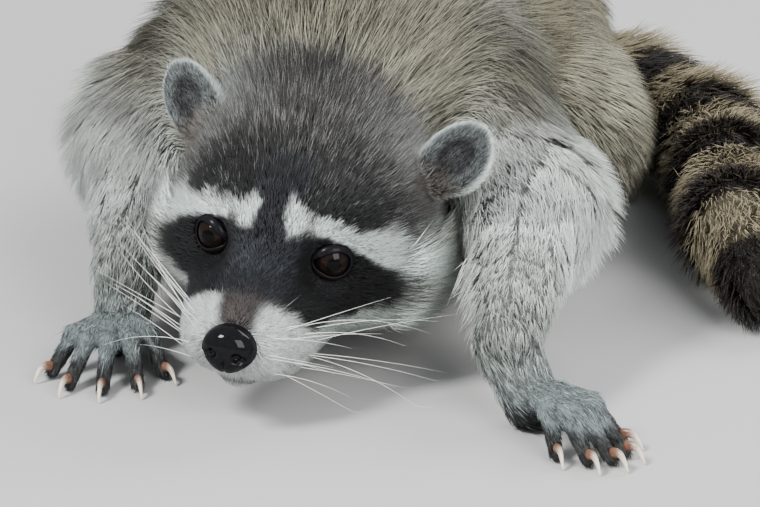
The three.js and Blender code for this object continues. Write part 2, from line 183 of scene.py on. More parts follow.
def bone(start, end, radii, coats, lay=1.0):
    """A round cone from joint to joint. Its hair lies from start to end, or back again where lay is -1."""
    way = (end - start) / np.linalg.norm(end - start)
    low = np.minimum(start, end) - max(radii)
    high = np.maximum(start, end) + max(radii)
    skin = (radii[0] - coats[0], radii[1] - coats[1])
    field = lambda p, dressed: cone_distance(p, start, end, radii if dressed else skin)
    return {"field": field, "low": low, "high": high, "lay": way * lay}


def oval(centre, half, coat, turn, lay):
    """An ellipsoid of flesh. Its coat is as deep along each of its own axes as coat says."""
    half, coat = np.array(half, float), np.array(coat, float)
    spread = np.abs(turn) @ half
    field = lambda p, dressed: oval_distance(p, centre, half if dressed else half - coat, turn)
    return {"field": field, "low": centre - spread, "high": centre + spread, "lay": lay}


# Trunk and neck, from the nose end backwards: place, size and depth of the coat at each joint.
SPINE = [
    ((0.0010, -0.0340, 0.0810), 0.077, 0.018),
    ((0.0010, 0.0500, 0.0960), 0.082, 0.019),
    ((-0.0020, 0.1220, 0.0890), 0.085, 0.021),
    ((0.0000, 0.1780, 0.0700), 0.054, 0.020),
]
NECK = [((0.0030, -0.1170, 0.0670), 0.051, 0.012), ((0.0010, -0.0380, 0.0980), 0.068, 0.017)]
MELTS = {  # how far each part melts into itself, and into the rest
    "trunk": (0.040, 0.026),
    "neck": (0.026, 0.026),
    "head": (0.016, 0.016),
    "jaw": (0.004, 0.005),
    "ear": (0.003, 0.005),
    "forelimb": (0.020, 0.026),
    "hindlimb": (0.030, 0.026),
    "hand": (0.003, 0.006),
    "foot": (0.003, 0.006),
    "tail": (0.010, 0.015),
}
SAG = np.array([0, 0, -0.35])  # the long hair of the flanks hangs as well as lying backwards


def chain(joints, sag=0.0):
    """Bones strung along joints, each joint a place, a radius and a depth of coat."""
    pairs = zip(joints, joints[1:])
    bones = [bone(a - MIDDLE, b - MIDDLE, (ra, rb), (ca, cb)) for (a, ra, ca), (b, rb, cb) in pairs]
    for each in bones:
        each["lay"] = each["lay"] + SAG * sag
    return bones


parts = {}  # name: how far it melts into itself, how far into the rest, and its bones
parts["trunk"] = (*MELTS["trunk"], chain(SPINE, sag=1))
parts["neck"] = (*MELTS["neck"], chain(NECK, sag=0.6))

# Head. Its own frame lies about midway between the eyes with the crown up. It is turned a little to the
# animal's right and down, and the crown leans to the left.
HEAD_TURN = turned(yaw=-5.3, pitch=4.3, roll=8.2)
SKULL = ((0, 0.040, 0.006), (0.052, 0.052, 0.042), (0.005, 0.004, 0.006))
BROW = ((0, 0.014, 0.004), (0.040, 0.034, 0.028), (0.003, 0.002, 0.003))
BROW_RIDGE = ((0.019, 0.002, 0.015), (0.013, 0.012, 0.008), (0.0015, 0.0015, 0.0015))
CHEEK = ((0.033, 0.030, -0.014), (0.027, 0.038, 0.026), (0.007, 0.003, 0.006))
UNDER_EYE = ((0.018, -0.006, -0.020), (0.013, 0.026, 0.0125), (0.0022, 0.0018, 0.0022))
MUZZLE = ((0.001, 0.004, -0.009), (0.0005, -0.036, -0.0205), (0.024, 0.0165), (0.0022, 0.0015))
WHISKER_PAD = ((0.012, -0.032, -0.0275), (0.013, 0.020, 0.012), (0.0015, 0.0015, 0.0015))
JAW = ((0, 0.014, -0.034), (0, -0.037, -0.0385), (0.020, 0.0085), (0.003, 0.0015))
EYE = ((0.0238, -0.007, 0.0024), 0.0082)
SOCKET = ((0.0263, -0.019, 0.0034), 0.0105, 0.006)
EAR = ((0.056, 0.046, 0.0325), (0.0128, 0.0066, 0.0186), 35, -14)
EAR_CUP = ((0, -0.0056, 0), (0.0092, 0.0059, 0.0144))
EAR_COAT = 0.0012
CUP_MELT = 0.002


def on_head(place, side=1):
    """A place in the head's own frame, mirrored to one side, carried to the frame of the model."""
    return HEAD_TURN @ (np.array(place) * (side, 1, 1)) + HEAD_AT


def to_head(points):
    """Points of the model in the head's own frame."""
    return (points - HEAD_AT) @ HEAD_TURN


def head_oval(sizes, side=1):
    return oval(on_head(sizes[0], side), sizes[1], sizes[2], HEAD_TURN, HEAD_TURN[:, 1])


def head_bone(sizes):
    start, end, radii, coats = sizes
    return bone(on_head(start), on_head(end), radii, coats, lay=-1)


both = (1, -1)
face_ovals = (BROW_RIDGE, CHEEK, UNDER_EYE, WHISKER_PAD)
head_bones = [head_oval(SKULL), head_oval(BROW), head_bone(MUZZLE)]
head_bones += [head_oval(sizes, side) for sizes in face_ovals for side in both]
parts["head"] = (*MELTS["head"], head_bones)
parts["jaw"] = (*MELTS["jaw"], [head_bone(JAW)])
ear_turns = {side: HEAD_TURN @ turned(roll=EAR[2] * side) @ turned(pitch=EAR[3]) for side in both}
for side in both:
    turn = ear_turns[side]
    ear = oval(on_head(EAR[0], side), EAR[1], (EAR_COAT,) * 3, turn, turn[:, 2])
    parts["ear" + str(side)] = (*MELTS["ear"], [ear])

# Limbs and tail, joint by joint: place, radius and depth of coat.
FORELIMBS = {
    1: [
        ((0.0480, -0.0340, 0.0940), 0.041, 0.014),
        ((0.0920, -0.0840, 0.0600), 0.031, 0.010),
        ((0.0955, -0.1730, 0.0330), 0.014, 0.0028),
    ],
    -1: [
        ((-0.0480, -0.0300, 0.0980), 0.040, 0.014),
        ((-0.0800, -0.0420, 0.0720), 0.036, 0.012),
        ((-0.0750, -0.1160, 0.0340), 0.014, 0.0028),
    ],
}
HANDS = {1: (48, 0.62), -1: (-4, 1.0)}  # how far out each hand points, in degrees, and its spread
HINDLIMB = [
    ((0.0360, 0.1180, 0.0800), 0.058, 0.017),
    ((0.0760, 0.0600, 0.0500), 0.046, 0.012),
    ((0.0640, 0.1340, 0.0260), 0.022, 0.004),
]
SOLE = [((0.0640, 0.1380, 0.0150), 0.015, 0.0015), ((0.0760, 0.0620, 0.0100), 0.011, 0.001)]
SOLE_POINTS = (8, 0.8)
PALM_LENGTH, PALM_HEIGHT, PALM_RADIUS, WRIST_HEIGHT = 0.016, 0.011, 0.012, 0.030
DIGIT_REACH, KNUCKLE_AHEAD = 0.044, 0.012
DIGIT_RADII = (0.0050, 0.0041, 0.0033)
DIGIT_HEIGHTS = (0.017, 0.016, 0.0031)
DIGIT_ANGLES = (-40, -20, -3, 14, 34)
DIGIT_LENGTHS = (0.66, 0.92, 1, 0.95, 0.72)
DIGIT_COAT = 0.0007
TOE_SCALE = 0.8
TAIL = [
    ((0.0000, 0.1740, 0.0580), 0.042, 0.015),
    ((0.0460, 0.2040, 0.0364), 0.038, 0.018),
    ((0.1000, 0.1920, 0.0344), 0.036, 0.018),
    ((0.1410, 0.1450, 0.0324), 0.034, 0.018),
    ((0.1600, 0.0800, 0.0304), 0.032, 0.017),
    ((0.1700, 0.0120, 0.0274), 0.029, 0.015),
    ((0.1870, -0.0520, 0.0164), 0.018, 0.010),
]


def ahead(angle, side):
    """The level direction that is so many degrees out from straight ahead on one side."""
    return np.array([side * math.sin(math.radians(angle)), -math.cos(math.radians(angle)), 0])


def digits_from(middle, points, side, scale):
    """The joints of five digits fanned round a palm: out along each one's own way, then down to its pad."""
    heading, spread = points
    fan = []
    for angle, share in zip(DIGIT_ANGLES, DIGIT_LENGTHS):
        way = ahead(heading + angle * spread, side)
        steps = [KNUCKLE_AHEAD * scale + DIGIT_REACH * share * scale * t for t in (0, 0.45, 0.85)]
        joints = [np.array([*(middle + way * step)[:2], z]) for step, z in zip(steps, DIGIT_HEIGHTS)]
        radii = [radius * math.sqrt(scale) for radius in DIGIT_RADII]
        fan.append({"way": way, "joints": joints, "radii": radii})
    return fan


digits = []
for side in both:
    name = {1: "_left", -1: "_right"}[side]
    parts["forelimb" + name] = (*MELTS["forelimb"], chain(FORELIMBS[side]))
    wrist = np.array(FORELIMBS[side][-1][0])
    middle = wrist + ahead(HANDS[side][0], side) * PALM_LENGTH
    palm = [
        ((*wrist[:2], WRIST_HEIGHT), PALM_RADIUS + 0.001, 0.0022),
        ((*middle[:2], PALM_HEIGHT), PALM_RADIUS, 0.001),
    ]
    fingers = digits_from(middle, HANDS[side], side, 1)
    out = lambda joint: ((joint[0][0] * side, *joint[0][1:]), *joint[1:])
    hind = [out(joint) for joint in HINDLIMB]
    parts["hindlimb" + name] = (*MELTS["hindlimb"], chain(hind, sag=0.5))
    sole = [out(joint) for joint in SOLE]
    toes = digits_from(np.array(sole[1][0]), SOLE_POINTS, side, TOE_SCALE)
    for kind, base, fan in (("hand", palm, fingers), ("foot", sole, toes)):
        bones = chain(base)
        for digit in fan:
            bones += chain(list(zip(digit["joints"], digit["radii"], [DIGIT_COAT] * 3)))
        parts[kind + name] = (*MELTS[kind], bones)
        digits += fan
parts["tail"] = (*MELTS["tail"], chain(TAIL))

# ---------------------------------------------------------------- Skin
# One closed skin covers all the flesh. It is the zero level of the body's distance field, inside the tips of
# the coat by the coat's depth, drawn out of a graded lattice and then moved onto the field itself.

FAR = 0.05  # the field's value out of reach of every part
MARGIN = 0.032  # how far past its own box a part still counts
FLOOR_CLEARANCE = 0.0005
FINE_STEP, COARSE_STEP = 0.0017, 0.0035
FINE_BACK_TO = -0.095  # the head and hands lie ahead of this y
FINE_UP_TO = 0.125
PAST_BOX, BELOW_FLOOR = 0.01, -0.006  # where the lattice ends, past the body's box and under the floor
PROBE = 0.0003  # half the width over which slopes are measured


def part_distance(name, points, dressed):
    """Distance to one part: its bones melted together, with the eye sockets and the ear cups pressed in."""
    reach, _, bones = parts[name]
    total = np.full(len(points), FAR)
    for each in bones:
        total = melt(total, each["field"](points, dressed), reach)
    if name == "head":
        for side in both:
            hollow = np.linalg.norm(points - on_head(SOCKET[0], side), axis=1) - SOCKET[1]
            total = -melt(-total, hollow, SOCKET[2])
    if name.startswith("ear"):
        side = int(name[3:])
        turn = ear_turns[side]
        cup = oval_distance(points, on_head(EAR[0], side) + turn @ EAR_CUP[0], np.array(EAR_CUP[1]), turn)
        total = -melt(-total, cup, CUP_MELT)
    return total


def part_box(name):
    bones = parts[name][2]
    return np.min([b["low"] for b in bones], 0) - MARGIN, np.max([b["high"] for b in bones], 0) + MARGIN


def body_distance(points, dressed=False):
    """Distance to the whole body at scattered points, with or without its coat."""
    total = np.full(len(points), FAR)
    for name, (_, reach, _) in parts.items():
        low, high = part_box(name)
        near = np.flatnonzero(((points > low) & (points < high)).all(1))
        total[near] = melt(total[near], part_distance(name, points[near], dressed), reach)
    return np.maximum(total, FLOOR_CLEARANCE - points[:, 2])


def slope_at(points, dressed=False):
    """The field's slope: its change between two points a little to each side, along X, Y and Z."""
    steps = np.eye(3) * PROBE
    sides = [body_distance(points + s, dressed) - body_distance(points - s, dressed) for s in steps]
    return np.stack(sides, 1) / (2 * PROBE)


def unit(vectors):
    return vectors / (np.linalg.norm(vectors, axis=1, keepdims=True) + 1e-12)


def graded(low, high, fine_low, fine_high):
    """Lattice lines that stand close together between two places and wider apart outside them."""
    lines = []
    stops = (low, fine_low, fine_high, high)
    for a, b, step in zip(stops, stops[1:], (COARSE_STEP, FINE_STEP, COARSE_STEP)):
        if b > a:
            lines.append(np.linspace(a, b, max(int(round((b - a) / step)), 1), endpoint=False))
    return np.append(np.concatenate(lines), high)


def zero_surface(axes, values):
    """A closed net on the field's zero level. Each lattice cell that the level passes through gets one
    vertex, and each lattice line that it crosses gets a face from the four cells round that line."""
    inside = values < 0
    corner_sum = sum(
        inside[i : i - 1 or None, j : j - 1 or None, k : k - 1 or None].astype(np.int8)
        for i in (0, 1) for j in (0, 1) for k in (0, 1)
    )
    crossed = (corner_sum > 0) & (corner_sum < 8)
    number = np.full(crossed.shape, -1)
    number[crossed] = np.arange(crossed.sum())
    cells = np.argwhere(crossed)
    middles = [(line[:-1] + line[1:]) / 2 for line in axes]
    vertices = np.stack([middles[a][cells[:, a]] for a in range(3)], 1)
    faces = []
    for a in range(3):
        b, c = (a + 1) % 3, (a + 2) % 3
        here = [slice(None)] * 3
        here[a], here[b], here[c] = slice(None, -1), slice(1, -1), slice(1, -1)
        there = list(here)
        there[a] = slice(1, None)
        leaving = inside[tuple(here)] & ~inside[tuple(there)]
        entering = ~inside[tuple(here)] & inside[tuple(there)]
        for edges, order in ((leaving, (0, 1, 2, 3)), (entering, (3, 2, 1, 0))):
            spot = np.argwhere(edges)
            round_line = []
            for step_b, step_c in ((0, 0), (1, 0), (1, 1), (0, 1)):
                cell = spot.copy()
                cell[:, b] += step_b
                cell[:, c] += step_c
                round_line.append(number[tuple(cell.T)])
            faces.append(np.stack(round_line, 1)[:, order])
    return vertices, np.concatenate(faces)


low, high = cad_box
axes = [
    graded(low[0] - PAST_BOX, high[0] + PAST_BOX, low[0] - PAST_BOX, high[0] + PAST_BOX),
    graded(low[1] - PAST_BOX, high[1] + PAST_BOX, low[1] - PAST_BOX, FINE_BACK_TO),
    graded(BELOW_FLOOR, high[2] + PAST_BOX, BELOW_FLOOR, FINE_UP_TO),
]
lattice = np.full([len(line) for line in axes], FAR)
for name, (_, reach, _) in parts.items():
    box_low, box_high = part_box(name)
    span = [slice(*np.searchsorted(line, ends)) for line, ends in zip(axes, zip(box_low, box_high))]
    block = np.meshgrid(*[line[s] for line, s in zip(axes, span)], indexing="ij")
    points = np.stack([grid.ravel() for grid in block], 1)
    values = part_distance(name, points, False).reshape(block[0].shape)
    lattice[tuple(span)] = melt(lattice[tuple(span)], values, reach)
lattice = np.maximum(lattice, FLOOR_CLEARANCE - axes[2][None, None, :])
skin_points, skin_faces = zero_surface(axes, lattice)
for _ in range(3):
    slope = slope_at(skin_points)
    steep = (slope**2).sum(1, keepdims=True) + 1e-9
    move = -slope * body_distance(skin_points)[:, None] / steep
    longest = np.linalg.norm(move, axis=1, keepdims=True)
    skin_points += move * np.minimum(1, FINE_STEP / (longest + 1e-9))
skin_normals = unit(slope_at(skin_points))


def new_piece(name, points, faces, material, smooth=True):
    """Makes a mesh from arrays of points and of faces of one size, and rides it on the body."""
    mesh = bpy.data.meshes.new(name)
    mesh.vertices.add(len(points))
    mesh.vertices.foreach_set("co", np.asarray(points, np.float32).ravel())
    sides = faces.shape[1]
    mesh.loops.add(faces.size)
    mesh.loops.foreach_set("vertex_index", faces.astype(np.int32).ravel())
    mesh.polygons.add(len(faces))
    mesh.polygons.foreach_set("loop_start", np.arange(0, faces.size, sides, dtype=np.int32))
    mesh.update(calc_edges=True)
    mesh.polygons.foreach_set("use_smooth", np.full(len(mesh.polygons), smooth))
    mesh.materials.append(material)
    piece = bpy.data.objects.new(name, mesh)
    bpy.context.collection.objects.link(piece)
    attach(piece, "root")
    return piece


def paint_points(piece, colours):
    """Gives every vertex of a piece its own colour, which the coat's material reads."""
    layer = piece.data.attributes.new("coat_colour", "FLOAT_COLOR", "POINT")
    layer.data.foreach_set("color", np.c_[colours, np.ones(len(colours))].astype(np.float32).ravel())


def lay_out(piece, places, map_name="OFBake"):
    """Writes a UV map from one place for each vertex of the piece."""
    layer = piece.data.uv_layers.new(name=map_name)
    corners = np.empty(len(piece.data.loops), np.int32)
    piece.data.loops.foreach_get("vertex_index", corners)
    layer.data.foreach_set("uv", places[corners].astype(np.float32).ravel())


class Wire:
    """One output in a material's node tree. An expression on numbers adds its Math nodes, and every other
    node comes from the method that takes its type, its settings and what goes into its sockets."""

    def __init__(self, socket):
        self.socket = socket

    def node(self, kind, settings=None, inputs=None, output=0):
        tree = self.socket.id_data
        made = tree.nodes.new("ShaderNode" + kind)
        for key, value in (settings or {}).items():
            setattr(made, key, value)
        for key, value in (inputs or {}).items():
            if isinstance(value, Wire):
                tree.links.new(value.socket, made.inputs[key])
            else:
                made.inputs[key].default_value = value
        return Wire(made.outputs[output])

    def math(self, operation, first, second):
        return self.node("Math", {"operation": operation}, {0: first, 1: second})

    def __add__(self, other):
        return self.math("ADD", self, other)

    def __mul__(self, other):
        return self.math("MULTIPLY", self, other)

    __radd__ = __add__
    __rmul__ = __mul__

    def step(self, start, end):
        """Nought below start, one above end, and smooth between."""
        inputs = {"Value": self, "From Min": start, "From Max": end}
        return self.node("MapRange", {"interpolation_type": "SMOOTHSTEP"}, inputs)

    def blend(self, first, second):
        """The first colour where this is nought and the second where it is one."""
        return self.node("Mix", {"data_type": "RGBA"}, {0: self, 6: first, 7: second}, 2)


def finish_of(name, **constants):
    """A new material, its Principled shader with constants set, and a wire that gives Object coordinates."""
    material = bpy.data.materials.new(name)
    material.use_nodes = True
    tree = material.node_tree
    shader = tree.nodes["Principled BSDF"]
    for key, value in constants.items():
        shader.inputs[key.replace("_", " ")].default_value = value
    place = tree.nodes.new("ShaderNodeTexCoord").outputs["Object"]
    return material, shader, Wire(place)


def feed(shader, **wires):
    """Links wires to a shader's sockets, named with underscores for spaces."""
    for key, wire in wires.items():
        shader.id_data.links.new(wire.socket, shader.inputs[key.replace("_", " ")])


def noise(place, scale, detail=2.0):
    return place.node("TexNoise", {}, {"Vector": place, "Scale": scale, "Detail": detail})


def bump(place, height, distance, strength=1.0):
    return place.node("Bump", {}, {"Height": height, "Distance": distance, "Strength": strength})


# ---------------------------------------------------------------- Markings
# The animal's pattern: every place on it has a pale hair colour, a dark one, and the share of hairs that are
# dark. Skin and coat both take their colours from here.

PELTS = {  # part: pale hair, dark hair, share of dark hairs
    "trunk": ((0.36, 0.335, 0.225), (0.060, 0.050, 0.036), 0.30),
    "neck": ((0.40, 0.38, 0.27), (0.060, 0.052, 0.040), 0.28),
    "head": ((0.26, 0.262, 0.26), (0.0045, 0.005, 0.0065), 0.935),
    "jaw": ((0.44, 0.48, 0.46), (0.05, 0.045, 0.04), 0.25),
    "ear": ((0.42, 0.48, 0.48), (0.030, 0.030, 0.032), 0.20),
    "forelimb": ((0.50, 0.52, 0.46), (0.050, 0.046, 0.038), 0.24),
    "hindlimb": ((0.46, 0.44, 0.33), (0.055, 0.047, 0.036), 0.30),
    "hand": ((0.40, 0.47, 0.47), (0.024, 0.023, 0.022), 0.38),
    "foot": ((0.34, 0.33, 0.29), (0.036, 0.032, 0.028), 0.34),
    "tail": ((0.32, 0.275, 0.18), (0.040, 0.030, 0.022), 0.10),
}
WHITE = (0.86, 0.96, 0.92)
BLACK = (0.006, 0.006, 0.007)
BROWN = (0.055, 0.036, 0.024)
EAR_BROWN = (0.10, 0.070, 0.048)
EAR_FOOT = (0.050, 0.034, 0.018)  # where the front edge of the ear meets the head
STRIPE_GREY = (0.024, 0.027, 0.034)
BRIDGE_BROWN = (0.034, 0.026, 0.024)
TAIL_BANDS = 6
FADE = 0.007  # how far one part's colour reaches into the next
PRIMES = (73856093, 19349663, 83492791)  # they scatter the three numbers of a cell into one
TABLE_SIZE = 4096  # a power of two


def ramp(value, start, end):
    """Nought at start, one at end and 3t² - 2t³ between them, t being the share of the way."""
    t = np.clip((value - start) / (end - start), 0, 1)
    return t * t * (3 - 2 * t)


def patches(points, size, seed):
    """Smooth random values from 0 to 1: one number at each corner of a lattice, blended across each cell."""
    table = np.random.default_rng(seed).random(TABLE_SIZE)
    spot = points / size
    corner = np.floor(spot).astype(np.int64)
    share = spot - corner
    share = share * share * (3 - 2 * share)
    total = 0
    for off in np.ndindex(2, 2, 2):
        key = (corner + off) @ PRIMES & (TABLE_SIZE - 1)
        total = total + table[key] * np.where(off, share, 1 - share).prod(1)
    return total


def kinship(points):
    """How much each point belongs to each part: falling with its distance to the part, and one in all."""
    pull = {}
    for name in parts:
        low, high = part_box(name)
        near = np.flatnonzero(((points > low) & (points < high)).all(1))
        pull[name] = np.zeros(len(points))
        pull[name][near] = np.exp(-np.clip(part_distance(name, points[near], False), -0.01, 1) / FADE)
    whole = sum(pull.values()) + 1e-9
    return {name: share / whole for name, share in pull.items()}


def along_tail(points):
    """How far down the tail each point lies, from 0 at its root to 1 at its tip."""
    joints = np.array([joint[0] for joint in TAIL]) - MIDDLE
    lengths = np.linalg.norm(np.diff(joints, axis=0), axis=1)
    starts = np.concatenate([[0], np.cumsum(lengths)])
    best = np.full(len(points), np.inf)
    share = np.zeros(len(points))
    for a, b, length, start in zip(joints, joints[1:], lengths, starts):
        t = np.clip((points - a) @ (b - a) / length**2, 0, 1)
        off = np.linalg.norm(points - a - t[:, None] * (b - a), axis=1)
        share = np.where(off < best, (start + t * length) / starts[-1], share)
        best = np.minimum(best, off)
    return share


def crown_cover(x, y, z):
    """Where the dark crown lies, in millimetres on the head: it ends behind the ears and above the cheeks."""
    return ramp(y + 0.1 * np.abs(x), 68, 54) * ramp(z, -16, 2) * ramp(np.abs(x), 76, 62)


def pelt_at(points):
    """The pale hair colour, the dark one and the share of dark hairs at each point."""
    shares = kinship(points)
    kind = {name: name.split("_")[0].rstrip("-1") for name in parts}
    mixed = lambda i: sum(np.outer(share, PELTS[kind[name]][i]) for name, share in shares.items())
    state = {"pale": mixed(0), "dark": mixed(1), "pepper": mixed(2)[:, 0]}

    def lay(mask, pale, dark, pepper):
        """Paints over what is there: fully where the mask is one and not at all where it is nought."""
        for key, new in (("pale", pale), ("dark", dark), ("pepper", pepper)):
            cover = mask if key == "pepper" else mask[:, None]
            state[key] = state[key] * (1 - cover) + np.array(new) * cover

    # Body: dark blotches on the back, a browner belly, and pale arms with dark patches.
    body = shares["trunk"] + shares["neck"] + shares["hindlimb_left"] + shares["hindlimb_right"]
    blotches = ramp(0.6 * patches(points, 0.045, 3) + 0.4 * patches(points, 0.018, 4), 0.52, 0.70)
    upper = ramp(points[:, 2], 0.08, 0.16)
    lay(0.85 * body * blotches * upper, (0.22, 0.195, 0.125), (0.030, 0.025, 0.018), 0.62)
    lay(0.6 * body * ramp(points[:, 2], 0.075, 0.03), (0.34, 0.31, 0.26), (0.06, 0.052, 0.043), 0.30)
    arms = shares["forelimb_left"] + shares["forelimb_right"]
    above_wrist = ramp(points[:, 1], -0.15, -0.10)
    pale_patches = ramp(patches(points, 0.026, 5), 0.42, 0.70)
    dark_patches = ramp(patches(points, 0.022, 6), 0.55, 0.78)
    lay(arms * above_wrist * pale_patches, (0.72, 0.83, 0.80), (0.10, 0.10, 0.095), 0.08)
    lay(0.7 * arms * dark_patches, (0.22, 0.22, 0.18), (0.045, 0.042, 0.036), 0.42)

    # A white spot before each elbow and a dark one on each shoulder.
    spot_at = lambda place, size: np.exp(-((np.linalg.norm(points - place, axis=1) / size) ** 2))
    for side in both:
        elbow = np.array(FORELIMBS[side][1][0]) - MIDDLE + (0, -0.012, -0.018)
        near_elbow = spot_at(elbow, 0.060)
        lay(arms * near_elbow, (0.96, 1.0, 0.98), (0.30, 0.30, 0.29), 0.03)
        shoulder = np.array(FORELIMBS[side][0][0]) - MIDDLE + (0.014 * side, -0.012, 0.020)
        on_shoulder = spot_at(shoulder, 0.040)
        lay(0.95 * (arms + body) * on_shoulder, (0.20, 0.185, 0.13), (0.028, 0.024, 0.018), 0.50)
    paws = sum(shares[name] for name in ("hand_left", "hand_right", "foot_left", "foot_right"))
    lay(0.9 * paws * ramp(points[:, 2], 0.0145, 0.009), (0.06, 0.058, 0.056), (0.012, 0.011, 0.011), 0.6)

    # Tail: dark rings on buff, and a dark tip.
    run = along_tail(points)
    wave = np.cos(2 * np.pi * (TAIL_BANDS + 0.5) * np.clip(run - 0.02, 0, 1) ** 1.05)
    rings = np.maximum(ramp(wave, 0.05, 0.45), ramp(run, 0.93, 0.96)) * ramp(run, 0.06, 0.12)
    lay(shares["tail"] * rings, (0.060, 0.042, 0.030), (0.012, 0.009, 0.008), 0.80)

    # Head, in millimetres in its own frame.
    x, y, z = (to_head(points) * 1000).T
    wide = np.abs(x)
    face = shares["head"] + shares["jaw"]
    ragged = (patches(points, 0.004, 7) - 0.5) * 3.0 + (patches(points, 0.0016, 8) - 0.5) * 2.0
    crown = crown_cover(x, y + 2 * ragged, z)
    lay((shares["neck"] + shares["trunk"]) * crown, *PELTS["head"])
    lay(face * ramp(y, 20, 40) * (1 - crown), *PELTS["neck"])
    ruff = ramp(wide + ragged, 44, 52) * ramp(z, 12, 1) * ramp(y, -2, 10)
    cheek = ramp(z + ragged, -12, -20) * ramp(y, -46, -30)
    lay(face * cheek, (0.66, 0.73, 0.68), (0.10, 0.10, 0.09), 0.10)
    under = ramp(z, -34, -44)
    lay(face * under * ramp(-y, 30, 0), (0.30, 0.30, 0.27), (0.04, 0.036, 0.032), 0.35)

    # White bands over the eyes that curl down round the ends of a black mask, a dark stripe between them.
    brow_middle = 15.7 - 0.00016 * wide**3
    half_band = 3.3 + 1.8 * ramp(wide, 14, 8) + 2.2 * ramp(wide, 30, 44)
    above = np.maximum(z - brow_middle, 0)
    off_band = np.abs(z - brow_middle) + (0.9 + 0.1 * above) * ragged - half_band
    soft_edge = np.where(z > brow_middle, 3.2, 1.4)
    notch = 0.85 * ramp(np.abs(wide - 14.5 - 0.25 * (z - 11.7)), 3.0, 0.8) * ramp(z, 19.7, 11.7)
    stripe_half = 4.6 + 2.6 * ramp(z, 20.7, 7.7)
    beside_stripe = ramp(wide + 0.4 * ragged, stripe_half - 1.0, stripe_half + 1.8)
    band = ramp(off_band, soft_edge, -1.4) * (1 - notch) * beside_stripe
    band = band * ramp(wide, 58, 50) * ramp(y, 22, 12)

    low_edge = -17.0 + 0.3 * np.clip(wide - 30, 0, 30)
    mask = ramp(z - brow_middle - 0.6 * ragged, -1.5, -5.5)
    mask = mask * ramp(z + 1.2 * ragged, low_edge - 4, low_edge + 1)
    mask = mask * ramp(y + ragged, 18, 6) * ramp(wide + ragged, 53, 45)
    lay(face * mask, (0.020, 0.021, 0.024), BLACK, 0.93)
    centre = ramp(wide, 13, 7) * ramp(z, 3, 13)
    middle_face = ramp(wide + ragged, 16, 7) * ramp(y, -8, -20)
    lay(face * middle_face * ramp(z, 15, 7), (0.10, 0.11, 0.13), STRIPE_GREY, 0.8)
    lay(face * centre * ramp(y, 10, -4), (0.075, 0.08, 0.09), (0.014, 0.015, 0.018), 0.85)
    lay(face * ruff, (0.74, 0.79, 0.72), (0.16, 0.155, 0.14), 0.10)
    lay(face * band, WHITE, (0.55, 0.56, 0.55), 0.06)

    # White muzzle with a brown bridge down its middle, a pale chin and dark lips.
    edge = 36 + np.where(z > -16, 0.5, 1.6) * (z + 16)
    muzzle = ramp(-y - edge + 1.1 * ragged, -3.0, 3.0)
    lay(face * muzzle, (0.94, 0.99, 0.97), (0.30, 0.29, 0.27), 0.10)
    bridge_half = 6.4 + 3.4 * ramp(-y, 52, 34)
    bridge = ramp(wide + 0.7 * ragged, bridge_half + 2.8, bridge_half - 2.2) * ramp(z, -19, -14)
    bridge = bridge * ramp(-y, 26, 34)
    nearer = ramp(-y, 34, 47)[:, None]
    tone = np.array(STRIPE_GREY) * (1 - nearer) + np.array(BRIDGE_BROWN) * nearer
    for key, factor in (("pale", 2.2), ("dark", 0.8)):
        state[key] = state[key] * (1 - (face * bridge)[:, None]) + tone * factor * (face * bridge)[:, None]
    chin = shares["jaw"] * ramp(-y, 20, 30) * ramp(z, -54, -48)
    lay(chin, (0.62, 0.68, 0.65), (0.10, 0.10, 0.095), 0.10)
    gape = part_distance("head", points, False) - part_distance("jaw", points, False)
    lips = np.exp(-((gape / 0.0006) ** 2)) * ramp(-y, 14, 22)
    lay(face * lips, (0.03, 0.026, 0.025), (0.008, 0.008, 0.008), 0.9)

    # Ears: a white rim round a grey cup, brown at the base in front.
    for side in both:
        share = shares["ear" + str(side)]
        local = (points - on_head(EAR[0], side)) @ ear_turns[side] / np.array(EAR[1])
        out = np.hypot(local[:, 0], local[:, 2])
        cup = ramp(local[:, 1], 0.3, -0.1)
        lay(share * cup, (0.18, 0.20, 0.20), (0.022, 0.022, 0.023), 0.42)
        lay(share * ramp(out, 0.66, 0.40) * cup, (0.050, 0.052, 0.053), (0.010, 0.010, 0.011), 0.72)
        lay(share * ramp(local[:, 1], 0.1, 0.6), (0.16, 0.16, 0.165), (0.02, 0.02, 0.02), 0.6)
        lay(share * ramp(out, 0.80, 0.94), WHITE, (0.5, 0.5, 0.49), 0.10)
        lay(share * ramp(local[:, 2], -0.15, -0.85), EAR_BROWN, BROWN, 0.7)
    from_foot = [np.linalg.norm(points - on_head(EAR_FOOT, side), axis=1) for side in both]
    lay(0.8 * face * sum(ramp(off, 0.014, 0.006) for off in from_foot), EAR_BROWN, BROWN, 0.6)
    return state["pale"], state["dark"], state["pepper"]


# ---------------------------------------------------------------- Skin piece
# The hide under the coat, from the nose to the tip of the tail without a seam. It takes the coat's colours a
# little darker, and its own fine bump stands for the short hairs between the tufts.

HIDE_SHADE = 0.55


def coat_finish(name, roughness, grain):
    """Hair: the vertices' own colour, broken up by a fine noise."""
    material, shader, place = finish_of(name, Roughness=roughness, Specular_IOR_Level=0.35)
    colour = place.node("Attribute", {"attribute_name": "coat_colour"})
    speckle = noise(place, grain, 3.0).step(0.25, 0.75)
    multiply = {"data_type": "RGBA", "blend_type": "MULTIPLY"}
    darker = place.node("Mix", multiply, {0: 0.6, 6: colour, 7: (0.55, 0.55, 0.55, 1)}, 2)
    feed(shader, Base_Color=speckle.blend(darker, colour))
    return material, shader, place, speckle


